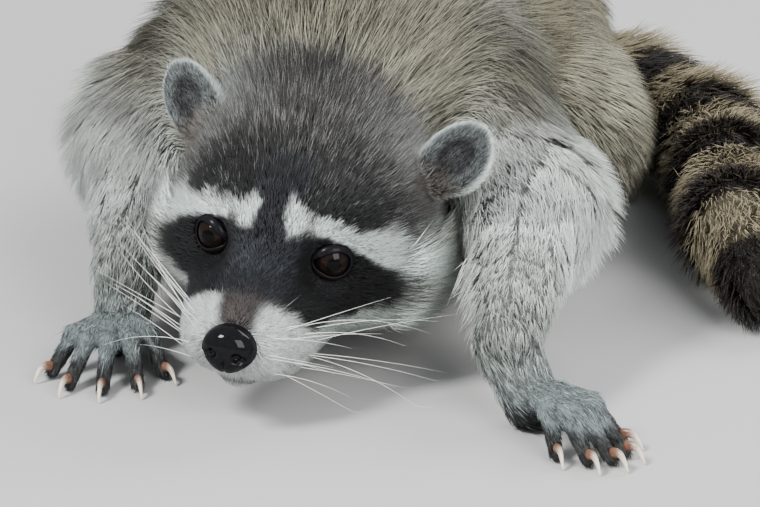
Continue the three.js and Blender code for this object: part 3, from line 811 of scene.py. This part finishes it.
hide, hide_shader, hide_place, hide_speckle = coat_finish("hide", 0.85, 900)
feed(hide_shader, Normal=bump(hide_place, hide_speckle, 0.0006, 0.7))
skin = new_piece("skin", skin_points, skin_faces, hide)
apart = ("claw", "eye", "nose")
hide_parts(*[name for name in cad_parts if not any(word in name for word in apart)])
pale, dark, pepper = pelt_at(skin_points)
mean_colour = pale * (1 - pepper[:, None]) + dark * pepper[:, None]
paint_points(skin, mean_colour * HIDE_SHADE)

# ---------------------------------------------------------------- Eyes and lids
# Two wet, dark brown eyes sit deep in their sockets, each in a ring of bare black lid with a pointed inner
# corner. The ball bulges a little at the cornea, and its lid is a closed ring that wraps round it.

PUPIL_OUT = {1: 24, -1: 12}  # degrees that each pupil points out from straight ahead
PUPIL_UP = 3
BALL_BACK, CORNEA_RISE, CORNEA_SPREAD = 0.985, 0.035, 0.55  # two shares of the eye's radius, and an angle
LID_OUT, LID_UP, LID_TILT = 31, 3, -6
LID_OPENING = (0.0061, 0.0052)  # half the width and half the height that stay open
LID_WIDTH = 12  # half the width of the ring, in degrees round the ball
LID_THICK = 0.0011
LID_GAP, LID_FLARE = 0.00002, 0.0006  # clear of the ball, and how much more for each radian outwards
INNER_CORNER = (0.0016, 0.42)  # how far the opening is drawn out to a point, and over what angle
UPPER_LID = (0.0005, 0.9)  # how far it hangs down, and over what angle
PUPIL_EDGE, IRIS_EDGE = 0.115, 0.245  # as shares of the way from the pupil's middle to the back of the ball
IRIS_RIM, PUPIL_BLUR = 0.04, 0.012  # how wide the iris's dark rim is, and the pupil's soft edge


def net(rows, around):
    """Triangles between rings of points, with a fan at each end round a last point of its own."""
    r, s = np.meshgrid(np.arange(rows - 1) * around, np.arange(around), indexing="ij")
    a, b = (r + s).ravel(), (r + (s + 1) % around).ravel()
    start, end = rows * around, rows * around + 1
    ring = np.arange(around)
    turned_ring = (ring + 1) % around
    last = (rows - 1) * around
    walls = [np.stack([a, b, b + around], 1), np.stack([a, b + around, a + around], 1)]
    caps = [np.stack([ring * 0 + start, turned_ring, ring], 1)]
    caps += [np.stack([ring * 0 + end, last + ring, last + turned_ring], 1)]
    return np.concatenate(walls + caps)


def looking(side, out, up):
    """Three axes as columns: to the outer side, up, and the way that an eye looks."""
    turn = HEAD_TURN @ turned(yaw=out * side, pitch=-up)
    return turn @ np.array([[side, 0, 0], [0, 0, -1], [0, 1, 0]])


eye_glass, eye_shader, eye_place = finish_of(
    "eye_glass", Roughness=0.4, Specular_IOR_Level=0.0, Coat_Weight=0.20, Coat_Roughness=0.01
)
eye_map = eye_place.node("UVMap", {"uv_map": "round"})
turn_and_way = eye_place.node("SeparateXYZ", {}, {0: eye_map}, 1)
rays = noise(eye_map.node("Mapping", {}, {"Vector": eye_map, "Scale": (60, 4, 1)}), 1.0, 3.0)
iris_brown = rays.blend((0.004, 0.0025, 0.002, 1), (0.014, 0.008, 0.006, 1))
iris_rim = turn_and_way.step(IRIS_EDGE - IRIS_RIM, IRIS_EDGE).blend(iris_brown, (0.004, 0.003, 0.003, 1))
out_of_pupil = turn_and_way.step(PUPIL_EDGE - PUPIL_BLUR, PUPIL_EDGE + PUPIL_BLUR)
feed(eye_shader, Base_Color=out_of_pupil.blend((0.001, 0.001, 0.001, 1), iris_rim))

lid_skin, lid_shader, lid_place = finish_of(
    "lid_skin", Roughness=0.42, Specular_IOR_Level=0.0, Coat_Weight=0.12, Coat_Roughness=0.22
)
lid_folds = noise(lid_place, 700, 3.0)
feed(lid_shader, Base_Color=lid_folds.blend((0.003, 0.003, 0.004, 1), (0.012, 0.011, 0.013, 1)))
feed(lid_shader, Normal=bump(lid_place, lid_folds, 0.0004, 0.5))

for side, name in ((1, "_left"), (-1, "_right")):
    # The ball: its radius is a little under the eye's, and rises to a little over it at the pupil, by a bell
    # curve of the angle from there.
    sideways, upward, ahead_of_eye = looking(side, PUPIL_OUT[side], PUPIL_UP).T
    rows, around = 40, 48
    angle = np.linspace(0, np.pi, rows + 2)[1:-1, None]
    turn = np.linspace(0, 2 * np.pi, around, endpoint=False)[None]
    radius = EYE[1] * (BALL_BACK + CORNEA_RISE * np.exp(-((angle / CORNEA_SPREAD) ** 2)))
    ring = np.sin(angle) * radius
    local = np.stack([ring * np.cos(turn), ring * np.sin(turn), np.cos(angle) * radius + 0 * turn], 2)
    local = local.reshape(-1, 3)
    poles = np.array([[0, 0, EYE[1] * (BALL_BACK + CORNEA_RISE)], [0, 0, -EYE[1] * BALL_BACK]])
    frame_of_eye = np.stack([sideways, upward, ahead_of_eye])
    ball = np.concatenate([local, poles]) @ frame_of_eye + on_head(EYE[0], side)
    faces = net(rows, around)
    eye = new_piece("eyeball" + name, ball, faces if side > 0 else faces[:, ::-1], eye_glass)
    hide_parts("eye" + name)
    rounds = np.stack([0 * angle + turn / (2 * np.pi), angle / np.pi + 0 * turn], 2).reshape(-1, 2)
    lay_out(eye, np.concatenate([rounds, [[0.5, 0], [0.5, 1]]]), "round")

    # The lid: a ring whose section is an oval, its middle a little outside the opening. The opening is an
    # oval drawn out to a point at its inner corner.
    sideways, upward, ahead_of_lid = looking(side, LID_OUT, LID_UP).T
    tilt = math.radians(LID_TILT)
    sin_tilt, cos_tilt = math.sin(tilt), math.cos(tilt)
    sideways, upward = sideways * cos_tilt - upward * sin_tilt, sideways * sin_tilt + upward * cos_tilt
    around, section = 72, 14
    a = np.linspace(0, 2 * np.pi, around, endpoint=False)[:, None]
    corner = INNER_CORNER[0] * np.exp(-(((a - np.pi) / INNER_CORNER[1]) ** 2))
    brow = UPPER_LID[0] * np.exp(-(((a - np.pi / 2) / UPPER_LID[1]) ** 2))
    plain_oval = 1 / np.sqrt((np.cos(a) / LID_OPENING[0]) ** 2 + (np.sin(a) / LID_OPENING[1]) ** 2)
    opening = plain_oval + corner - brow
    s = np.linspace(0, 2 * np.pi, section, endpoint=False)[None]
    inner = np.arcsin(np.clip(opening / EYE[1], 0, 0.97))
    half = math.radians(LID_WIDTH)
    away = inner + half - half * np.cos(s)
    radius = EYE[1] + LID_GAP + LID_THICK * (0.42 + 0.5 * np.sin(s)) + LID_FLARE * (away - inner)
    flat = np.sin(away) * radius
    local = np.stack([flat * np.cos(a), flat * np.sin(a), np.cos(away) * radius], 2).reshape(-1, 3)
    ring = local @ np.stack([sideways, upward, ahead_of_lid]) + on_head(EYE[0], side)
    i, j = np.meshgrid(np.arange(around), np.arange(section), indexing="ij")
    corner_at = lambda i, j: (i % around * section + j % section).ravel()
    faces = np.stack([corner_at(i, j), corner_at(i + 1, j), corner_at(i + 1, j + 1), corner_at(i, j + 1)], 1)
    new_piece("lids" + name, ring, faces if side < 0 else faces[:, ::-1], lid_skin)

# ---------------------------------------------------------------- Nose
# The nose pad is bare, black, wet and finely pebbled. It is a blunt oval with a curled nostril at each side
# and a groove down the middle.

NOSE = ((0, -0.055, -0.0226), (0.0108, 0.0082, 0.0097))
NOSTRIL = [  # a curl of dents: out, up, radius and depth
    (0.0050, -0.0004, 0.0019, 0.0027),
    (0.0068, -0.0012, 0.0018, 0.0027 * 0.7),
    (0.0086, -0.0024, 0.0014, 0.0027 * 0.7),
]
NOSE_BLUNTNESS, NOSE_TAPER = 0.86, 0.18  # one is a true oval, and how much narrower it is below
GROOVE = (0.0011, 0.0007)  # how deep it is, and half its width

rows, around = 96, 144
angle = np.linspace(0, np.pi, rows + 2)[1:-1, None]
turn = np.linspace(0, 2 * np.pi, around, endpoint=False)[None]
blunt = lambda v: np.sign(v) * np.abs(v) ** NOSE_BLUNTNESS
ring = blunt(np.sin(angle))
local = np.stack([ring * np.cos(turn), -blunt(np.cos(angle)) + 0 * turn, ring * np.sin(turn)], 2)
local = np.concatenate([local.reshape(-1, 3), [[0, -1, 0], [0, 1, 0]]]) * NOSE[1]
local[:, 0] *= 1 - NOSE_TAPER * ramp(-local[:, 2], 0.001, NOSE[1][2])
facing = ramp(-local[:, 1], 0.0006, 0.0035)
dent = np.zeros(len(local))
for out, up, size, deep in NOSTRIL:
    off = np.hypot(np.abs(local[:, 0]) - out, local[:, 2] - up)
    dent = np.maximum(dent, np.exp(-((off / size) ** 4)) * deep)
groove = GROOVE[0] * np.exp(-((local[:, 0] / GROOVE[1]) ** 2)) * ramp(-local[:, 2], 0.0005, 0.0035)
local[:, 1] += facing * (dent + groove)
nose_points = (local + NOSE[0]) @ HEAD_TURN.T + HEAD_AT
leather, leather_shader, leather_place = finish_of(
    "nose_leather", Roughness=0.5, Specular_IOR_Level=0.0, Coat_Weight=0.24, Coat_Roughness=0.06
)
pebbles = leather_place.node("TexVoronoi", {}, {"Vector": leather_place, "Scale": 1500.0})
leather_black = noise(leather_place, 400).blend((0.0025, 0.0025, 0.003, 1), (0.007, 0.007, 0.008, 1))
feed(leather_shader, Base_Color=leather_black)
feed(leather_shader, Normal=bump(leather_place, pebbles, 0.00025, 0.6))
nose = new_piece("nose_pad", nose_points, net(rows, around), leather)
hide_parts("nose")

# ---------------------------------------------------------------- Claws
# Twenty horn claws, brown at the root and ivory at the tip. Each is an oval cone that rises out of its digit
# and hooks down to a point just clear of the floor.

CLAW_LENGTH = 0.0105
CLAW_HEIGHTS = (0.0054, 0.0017, 0.0046)  # at the root, how much it arches, and how far it comes down
CLAW_RADII = (0.0021, 0.00035)
CLAW_OVAL = (0.78, 1.1)  # how wide and how tall its section is for its radius

horn, horn_shader, horn_place = finish_of("horn", Roughness=0.34, Coat_Weight=0.25, Coat_Roughness=0.2)
horn_map = horn_place.node("UVMap", {"uv_map": "length"})
way = horn_place.node("SeparateXYZ", {}, {0: horn_map}, 1)
grain = noise(horn_place, 900, 3.0)
root_brown = grain.blend((0.10, 0.040, 0.024, 1), (0.22, 0.105, 0.065, 1))
feed(horn_shader, Base_Color=(way + 0.25 * grain).step(0.35, 0.95).blend(root_brown, (0.74, 0.66, 0.54, 1)))
feed(horn_shader, Normal=bump(horn_place, grain, 0.0002, 0.4))

rows, around = 14, 12
t = np.linspace(0, 1, rows)[:, None]
turn = np.linspace(0, 2 * np.pi, around, endpoint=False)[None]
claw_points, claw_faces, claw_map = [], [], []
for digit in digits:
    way_out = digit["way"]
    across = np.cross([0, 0, 1], way_out)
    run = CLAW_LENGTH * (0.1 + t - 0.12 * t**2)
    height = CLAW_HEIGHTS[0] + CLAW_HEIGHTS[1] * np.sin(np.pi * t) - CLAW_HEIGHTS[2] * t**2
    radius = CLAW_RADII[0] * (1 - t) ** 0.8 + CLAW_RADII[1] * t
    slope = np.gradient(height[:, 0], run[:, 0])[:, None]
    lean = np.arctan(slope)
    above = np.array([0, 0, 1])
    middle = (digit["joints"][2] - MIDDLE) * (1, 1, 0) + run[..., None] * way_out + height[..., None] * above
    upright = -np.sin(lean)[..., None] * way_out + np.cos(lean)[..., None] * above
    ring = middle + (radius * CLAW_OVAL[0] * np.cos(turn))[..., None] * across
    ring = ring + (radius * CLAW_OVAL[1] * np.sin(turn))[..., None] * upright
    ends = np.stack([middle[0, 0] - way_out * 0.0004, middle[-1, 0] + way_out * 0.0003 - (0, 0, 0.0003)])
    claw_faces.append(net(rows, around) + len(claw_points) * (rows * around + 2))
    claw_points.append(np.concatenate([ring.reshape(-1, 3), ends]))
    round_and_along = np.stack([turn / 7 + 0 * t, t + 0 * turn], 2).reshape(-1, 2)
    claw_map.append(np.concatenate([round_and_along, [[0, 0], [0, 1]]]))
claws = new_piece("claws", np.concatenate(claw_points), np.concatenate(claw_faces), horn)
lay_out(claws, np.concatenate(claw_map), "length")
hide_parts(*[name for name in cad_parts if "claw" in name])

# ---------------------------------------------------------------- Whiskers
# Long white whiskers stand in rows on the lip pads, and sweep out, back and down in a shallow curve. The
# lowest bend up again where they would meet the floor.

WHISKER_ROWS = 4
WHISKERS_IN_ROW = 4
WHISKER_RADIUS = 0.00014
WHISKER_LENGTHS = (0.026, 0.062)
WHISKER_TAPER = 0.85
WHISKER_CAP = 0.0006  # how far each end is drawn out to a point
WHISKER_FLOOR = 0.0025
RIGHT_SIDE_RISE = 0.35  # how much more the whiskers of the right side point up

whisker_horn = finish_of("whisker", Base_Color=(0.90, 0.89, 0.84, 1), Roughness=0.35)[0]
luck = np.random.default_rng(77)
rows, around = 22, 5
t = np.linspace(0, 1, rows)[:, None, None]
turn = np.linspace(0, 2 * np.pi, around, endpoint=False)
whisker_points, whisker_faces = [], []
for side in both:
    for row in range(WHISKER_ROWS):
        for place in range(WHISKERS_IN_ROW):
            back = (place + 0.4 * luck.random()) / (WHISKERS_IN_ROW - 1)
            down = (row + 0.3 * luck.normal()) / (WHISKER_ROWS - 1)
            root = on_head((0.0125 + 0.008 * back, -0.048 + 0.019 * back, -0.020 - 0.010 * down), side)
            for _ in range(4):
                root = root - body_distance(root[None])[0] * slope_at(root[None])[0]
            share = np.clip(0.65 * back + 0.35 * luck.random(), 0, 1)
            length = WHISKER_LENGTHS[0] + (WHISKER_LENGTHS[1] - WHISKER_LENGTHS[0]) * share
            rise = 0.42 - 0.55 * down + 0.16 * luck.normal() + (RIGHT_SIDE_RISE if side < 0 else 0)
            start = np.array([[side, 0.05 + 0.35 * back + 0.12 * luck.normal(), rise]])
            start = unit(start) @ HEAD_TURN.T
            bend = np.array([-side * 0.15, 0.55 + 0.15 * luck.normal(), -0.50 + 0.20 * luck.normal()])
            bend = bend @ HEAD_TURN.T
            middle = root + length * (start * t[:, 0] + bend * 0.5 * t[:, 0] ** 2)
            over = middle[:, 2] - WHISKER_FLOOR
            middle[:, 2] = WHISKER_FLOOR + 0.5 * (over + np.sqrt(over**2 + 0.000003 * t[:, 0, 0]))
            along = unit(np.gradient(middle, axis=0))
            across = unit(np.cross(along, [0, 0, 1]))
            up = np.cross(across, along)
            size = WHISKER_RADIUS * (1 - WHISKER_TAPER * t[..., 0])
            round_root = np.cos(turn)[:, None] * across[:, None] + np.sin(turn)[:, None] * up[:, None]
            ring = middle[:, None] + size[..., None] * round_root
            ends = np.stack([middle[0] - along[0] * WHISKER_CAP, middle[-1] + along[-1] * WHISKER_CAP])
            whisker_faces.append(net(rows, around) + len(whisker_points) * (rows * around + 2))
            whisker_points.append(np.concatenate([ring.reshape(-1, 3), ends]))
new_piece("whiskers", np.concatenate(whisker_points), np.concatenate(whisker_faces), whisker_horn)

# ---------------------------------------------------------------- Coat
# Solid tufts of hair stand all over the hide. Each is a thin three-sided spindle that leaves the skin, bends
# over and lies along the body, so that its tip reaches the coat's outline.

PATCH = 0.003  # how far across each tuft's own patch is on the map of the coat
BEND_AT = 0.36  # how far along a bent tuft its widest place is
STRAIGHT, BENT = 4, 6  # faces on a tuft that is straight and on one that bends over
LEAST_DEPTH, MOST_DEPTH = 0.0004, 0.03  # of the coat under a tuft
TOO_LOW = 0.0008  # a tip that would reach further than this under the floor has its tuft drawn in
LEAST_SQUEEZE = 0.15
OVER_FLOOR = 0.0003  # the lowest that any tuft reaches
HAIR_LUCK, LOCK_LUCK = 0.8, 0.2  # what each has to do with whether a tuft is dark
PARTING = (0, -0.060, -0.016)  # the place on the head that its hair leads away from
EYE_PARTING = 0.012  # how far round each eye the hair parts
BARE_ROUND_EYE = 0.0084
hair = coat_finish("hair", 0.62, 1500)[0]
rng = np.random.default_rng(20811)

half_quads = skin_faces[:, [0, 1, 2, 0, 2, 3]].reshape(-1, 3)
triangle_points = skin_points[half_quads]
first_side = triangle_points[:, 1] - triangle_points[:, 0]
second_side = triangle_points[:, 2] - triangle_points[:, 0]
triangle_area = np.linalg.norm(np.cross(first_side, second_side), axis=1) / 2
triangle_middle = triangle_points.mean(1)


def lie_of_coat(points, normals):
    """The way the hair lies: the mean of the nearby bones' ways, flattened onto the skin. On the head it
    leads away from the nose, and parts round each eye."""
    total = np.zeros((len(points), 3))
    for name, (_, _, bones) in parts.items():
        if name in ("head", "jaw"):
            continue
        for each in bones:
            near = np.flatnonzero(((points > each["low"] - MARGIN) & (points < each["high"] + MARGIN)).all(1))
            off = each["field"](points[near], False)
            total[near] += np.exp(-np.clip(off, -0.01, 1) / FADE)[:, None] * each["lay"]
    pull = np.exp(-np.clip(part_distance("head", points, False), -0.004, 1) / FADE)
    pull += np.exp(-np.clip(part_distance("jaw", points, False), -0.004, 1) / FADE)
    away = unit(points - on_head(PARTING))
    for side in both:
        from_eye = points - on_head(EYE[0], side)
        reach = np.linalg.norm(from_eye, axis=1, keepdims=True)
        away += 1.5 * from_eye / reach * np.exp(-((reach / EYE_PARTING) ** 2))
    total += pull[:, None] * (away + SAG * 0.3)
    total -= (total * normals).sum(1, keepdims=True) * normals
    return unit(total)


def spindles(roots, normals, lie, depth, length, width, kind):
    """Tufts as closed three-sided spindles. At a share t of its length a tuft is at root + normal · depth ·
    (1 - (1 - t)²) + lie · length · t. A straight one stands on its three corners at its root, and a bent
    one has them part way along and a point at each end."""
    t = BEND_AT if kind == BENT else 0
    middle = roots + normals * (depth * (1 - (1 - t) ** 2))[:, None] + lie * (length * t)[:, None]
    along = unit(normals * (depth * 2 * (1 - t))[:, None] + lie * length[:, None])
    across = unit(np.cross(along, normals))
    up = np.cross(across, along)
    turns = (0, 2 * math.pi / 3, 4 * math.pi / 3)
    rows = [middle + (across * math.cos(a) + up * 0.7 * math.sin(a)) * width[:, None] / 2 for a in turns]
    rows.append(roots + normals * depth[:, None] + lie * length[:, None])
    faces = [(0, 1, 3), (1, 2, 3), (2, 0, 3)]
    if kind == BENT:
        rows.append(roots)
        faces += [(1, 0, 4), (2, 1, 4), (0, 2, 4)]
    else:
        faces.append((0, 2, 1))
    points = np.stack(rows, 1)
    faces = np.array(faces)[None] + (np.arange(len(roots)) * len(rows))[:, None, None]
    return points, faces.reshape(-1, 3)


def gathered(roots, tips, size, share):
    """Draws the tips of the tufts in each lock, a cell of that size, towards the middle of them all."""
    cell = np.floor(roots / size + patches(roots, size * 2, 11)[:, None]).astype(np.int64)
    _, lock, count = np.unique(cell @ PRIMES, return_inverse=True, return_counts=True)
    middle = np.stack([np.bincount(lock, (tips - roots)[:, a]) / count for a in range(3)], 1)
    centre = np.stack([np.bincount(lock, roots[:, a]) / count for a in range(3)], 1)
    return tips + (centre[lock] + middle[lock] - tips) * share, lock


def round_line(points, joints):
    """How far round a bent middle line each point is, and how far along it, both from nought to one."""
    joints = np.array(joints, float)
    best = np.full(len(points), np.inf)
    turn, way = np.zeros(len(points)), np.zeros(len(points))
    run = 0
    for a, b in zip(joints, joints[1:]):
        length = np.linalg.norm(b - a)
        tangent = (b - a) / length
        across = np.cross(tangent, [0, 0, 1])
        across /= np.linalg.norm(across)
        up = np.cross(across, tangent)
        along = (points - a) @ tangent
        off = points - a - np.clip(along, 0, length)[:, None] * tangent
        reach = np.linalg.norm(off, axis=1)
        nearer = reach < best
        best = np.where(nearer, reach, best)
        turn = np.where(nearer, np.arctan2(off @ up, off @ across), turn)
        way = np.where(nearer, run + along, way)
        run += length
    return turn / (2 * np.pi) + 0.5, (way - way.min()) / (way.max() - way.min() + 1e-9)


def round_head(points, _=None):
    """How far round the line from the nose to the nape each point is, and how far back from the nose, both as
    angles at the middle of the head and from nought to one."""
    off = to_head(points) - (0, 0.030, 0)
    back = np.arctan2(np.hypot(off[:, 0], off[:, 2]), -off[:, 1])
    turn = np.arctan2(off[:, 2], off[:, 0]) / (2 * np.pi) + 0.5
    return turn, (back - back.min()) / (back.max() - back.min() + 1e-9)


def sided(roots, lines, unwrap=round_line):
    """Unwraps the two like parts of a pair, each on its own half of the map."""
    right = roots @ (1, 0, 0) < -MIDDLE[0]
    u, v = np.zeros(len(roots)), np.zeros(len(roots))
    for half, mine in enumerate((~right, right)):
        spot = np.flatnonzero(mine)
        if len(spot):
            turn, way = unwrap(roots[spot], lines[half])
            u[spot], v[spot] = (turn + half) / 2, way
    return u, v


def coat_piece(name, slot, weights, count, shape, unwrap):
    """Sows tufts on the skin by area and weight, and makes them one piece."""
    kind, reach_ratio, least, width, stray, draw, lock_size, root_shade, lock_tone, lift = shape
    chance = triangle_area * weights
    picked = rng.choice(len(chance), count, p=chance / chance.sum())
    a, b = rng.random((2, count, 1))
    flip = a + b > 1
    a, b = np.where(flip, 1 - a, a), np.where(flip, 1 - b, b)
    corner = half_quads[picked]
    first, second, third = corner.T
    blend = lambda values: values[first] * (1 - a - b) + values[second] * a + values[third] * b
    roots, normals = blend(skin_points), unit(blend(skin_normals))
    lie = lie_of_coat(roots, normals)
    depth = np.clip(-body_distance(roots, dressed=True), LEAST_DEPTH, MOST_DEPTH)
    depth = depth * lift * (0.55 + 0.45 * rng.random(count) ** 0.7)
    length = np.maximum(depth * reach_ratio, least) * (0.75 + 0.45 * rng.random(count))
    lie = unit(lie + stray * rng.normal(size=(count, 3)))
    lie = unit(lie - (lie * normals).sum(1, keepdims=True) * normals)
    tips = roots + normals * depth[:, None] + lie * length[:, None]
    drawn, lock = gathered(roots, tips, lock_size, draw)
    shift = drawn - roots
    depth = np.maximum((shift * normals).sum(1), LEAST_DEPTH)
    flat = shift - depth[:, None] * normals
    length = np.linalg.norm(flat, axis=1)
    lie = unit(flat)
    low = roots[:, 2] + TOO_LOW
    under = np.clip(-(lie[:, 2] * length + normals[:, 2] * depth + low), 0, None)
    squeeze = 1 - under / (np.abs(lie[:, 2] * length) + np.abs(normals[:, 2] * depth) + 1e-9)
    squeeze = np.clip(squeeze, LEAST_SQUEEZE, 1)
    depth, length = depth * squeeze, length * squeeze
    wide = width * (0.7 + 0.6 * rng.random(count))
    points, faces = spindles(roots, normals, lie, depth, length, wide, kind)
    points[..., 2] = np.maximum(points[..., 2], OVER_FLOOR)
    piece = new_piece(name, points.reshape(-1, 3), faces, hair)

    # Hairs are dark or pale by chance, darker at the root, and lighter or darker lock by lock.
    pale, dark, pepper = pelt_at(roots)
    lock_luck = rng.random(lock.max() + 1)[lock]
    is_dark = (rng.random(count) * HAIR_LUCK + lock_luck * LOCK_LUCK < pepper)[:, None]
    tone = (0.86 + 0.28 * rng.random(count))[:, None] * (1 + lock_tone * (lock_luck[:, None] - 0.5))
    mean = pale * (1 - pepper[:, None]) + dark * pepper[:, None]
    tip_colour = np.where(is_dark, dark, pale) * tone
    root_colour = mean * root_shade
    middle_colour = np.where(is_dark, 0.45 * mean + 0.55 * dark, 0.25 * mean + 0.75 * pale) * tone
    low_colour = middle_colour if kind == BENT else 0.5 * (root_colour + middle_colour)
    colours = [low_colour] * 3 + [tip_colour] + [root_colour] * (kind == BENT)
    paint_points(piece, np.stack(colours, 1).reshape(-1, 3))

    u, v = unwrap(roots)
    corner_places = [(-0.5, 0.3), (0.0, 0.1), (0.5, 0.3), (0.0, 1.0), (0.0, 0.0)][: points.shape[1]]
    places = np.stack([u, v], 1)[:, None] * (1 - PATCH) + np.array(corner_places) * PATCH + (PATCH / 2, 0)
    lay_out(piece, np.clip(places.reshape(-1, 2), 0, 1))
    return piece


in_part = kinship(triangle_middle)
face_local = to_head(triangle_middle)
left_half = (triangle_middle[:, 0] > -MIDDLE[0]) * 1.0
bare = np.ones(len(triangle_middle))  # no hair grows under the lids or the nose pad
for side in both:
    bare *= np.linalg.norm(triangle_middle - on_head(EYE[0], side), axis=1) > BARE_ROUND_EYE
bare *= (((face_local - NOSE[0]) / NOSE[1]) ** 2).sum(1) > 1.0
head_share = (in_part["head"] + in_part["jaw"]) * bare
face_mm = face_local * 1000
on_crown = crown_cover(*face_mm.T)
body_share = (in_part["trunk"] + in_part["neck"]) * (1 - on_crown)
cheek_back = ramp(np.abs(face_mm[:, 0]), 40, 52) * ramp(face_mm[:, 1], 0, 14) * ramp(face_mm[:, 1], 52, 40)
cheek_back *= ramp(face_mm[:, 2], 4, -6)
front = ramp(face_local[:, 1], 0.008, 0.002)
muzzle_near = ramp(face_local[:, 1], -0.012, -0.028)
ears_share = in_part["ear1"] + in_part["ear-1"]
hands_share = in_part["hand_left"] + in_part["hand_right"]
feet_share = in_part["foot_left"] + in_part["foot_right"]
before_waist = ramp(triangle_middle[:, 1], 0.036, 0.034)

joints_of = lambda chain_joints, side=1: [np.array(j[0]) * (side, 1, 1) - MIDDLE for j in chain_joints]
spine_line = joints_of(SPINE)
limb_lines = {1: joints_of(FORELIMBS[1]), -1: joints_of(FORELIMBS[-1])}
foot_lines = [[p * (1, 1, 0) + (0, 0, 0.008) for p in joints_of(SOLE, s)] for s in both]
hand_lines, ear_lines = [], []
for side in both:
    wrist = joints_of(FORELIMBS[side])[-1] * (1, 1, 0)
    hand_lines.append([wrist + (0, 0, 0.01), wrist + ahead(HANDS[side][0], side) * 0.06 + (0, 0, 0.008)])
    ear_middle, ear_up = on_head(EAR[0], side), ear_turns[side][:, 2] * 0.02
    ear_lines.append([ear_middle - ear_up, ear_middle + ear_up])

# Kind of tuft, length over depth of coat, least length, width, stray, share by which tips draw together,
# size of a lock, share of the tone left at the roots, how much the tone changes from lock to lock, and how
# far the tufts stand out.
short = (STRAIGHT, 1.5, 0.0034, 0.00034, 0.22, 0.20, 0.003, 0.55, 0.30, 1.0)
crown = (STRAIGHT, 0.9, 0.0042, 0.00034, 0.24, 0.16, 0.003, 0.45, 0.24, 1.0)
ruffled = (BENT, 2.4, 0.0150, 0.00040, 0.26, 0.34, 0.006, 0.55, 0.30, 1.9)
rim = (STRAIGHT, 1.2, 0.0027, 0.00030, 0.18, 0.10, 0.003, 0.60, 0.16, 1.0)
body = (BENT, 1.4, 0.0120, 0.00052, 0.20, 0.26, 0.008, 0.40, 0.30, 1.0)
limb = (BENT, 2.1, 0.0110, 0.00044, 0.20, 0.36, 0.012, 0.50, 0.34, 1.1)
brush = (BENT, 1.5, 0.0120, 0.00062, 0.24, 0.22, 0.010, 0.45, 0.24, 1.0)
paw = (STRAIGHT, 2.6, 0.0040, 0.00034, 0.24, 0.30, 0.004, 0.45, 0.70, 1.0)
along = lambda line: lambda roots: round_line(roots, line)
on_spine = along(spine_line)
REGIONS = {  # where each region is, number of tufts, their shape and the region's unwrap
    "fur_muzzle": (head_share * front * muzzle_near, 24000, short, round_head),
    "fur_face": (head_share * front * (1 - muzzle_near), 26000, short, round_head),
    "fur_crown": (head_share * (1 - front) + (1 - head_share) * on_crown * bare, 46000, crown, round_head),
    "fur_ruff": (head_share * cheek_back, 6000, ruffled, round_head),
    "fur_ears": (ears_share, 14000, rim, lambda roots: sided(roots, ear_lines)),
    "fur_front_left": (body_share * left_half * before_waist, 21000, body, on_spine),
    "fur_front_right": (body_share * (1 - left_half) * before_waist, 21000, body, on_spine),
    "fur_rear_left": (body_share * left_half * (1 - before_waist), 18000, body, on_spine),
    "fur_rear_right": (body_share * (1 - left_half) * (1 - before_waist), 18000, body, on_spine),
    "fur_arm_left": (in_part["forelimb_left"], 17000, limb, along(limb_lines[1])),
    "fur_arm_right": (in_part["forelimb_right"], 17000, limb, along(limb_lines[-1])),
    "fur_leg_left": (in_part["hindlimb_left"], 13000, body, along(joints_of(HINDLIMB))),
    "fur_leg_right": (in_part["hindlimb_right"], 11000, body, along(joints_of(HINDLIMB, -1))),
    "fur_tail": (in_part["tail"], 19000, brush, along(joints_of(TAIL))),
    "fur_hands": (hands_share, 15000, paw, lambda roots: sided(roots, hand_lines)),
    "fur_feet": (feet_share, 8000, paw, lambda roots: sided(roots, foot_lines)),
}
for name, (weights, count, shape, unwrap) in REGIONS.items():
    coat_piece(name, "ear_fur" if name == "fur_ears" else "coat", weights, count, shape, unwrap)
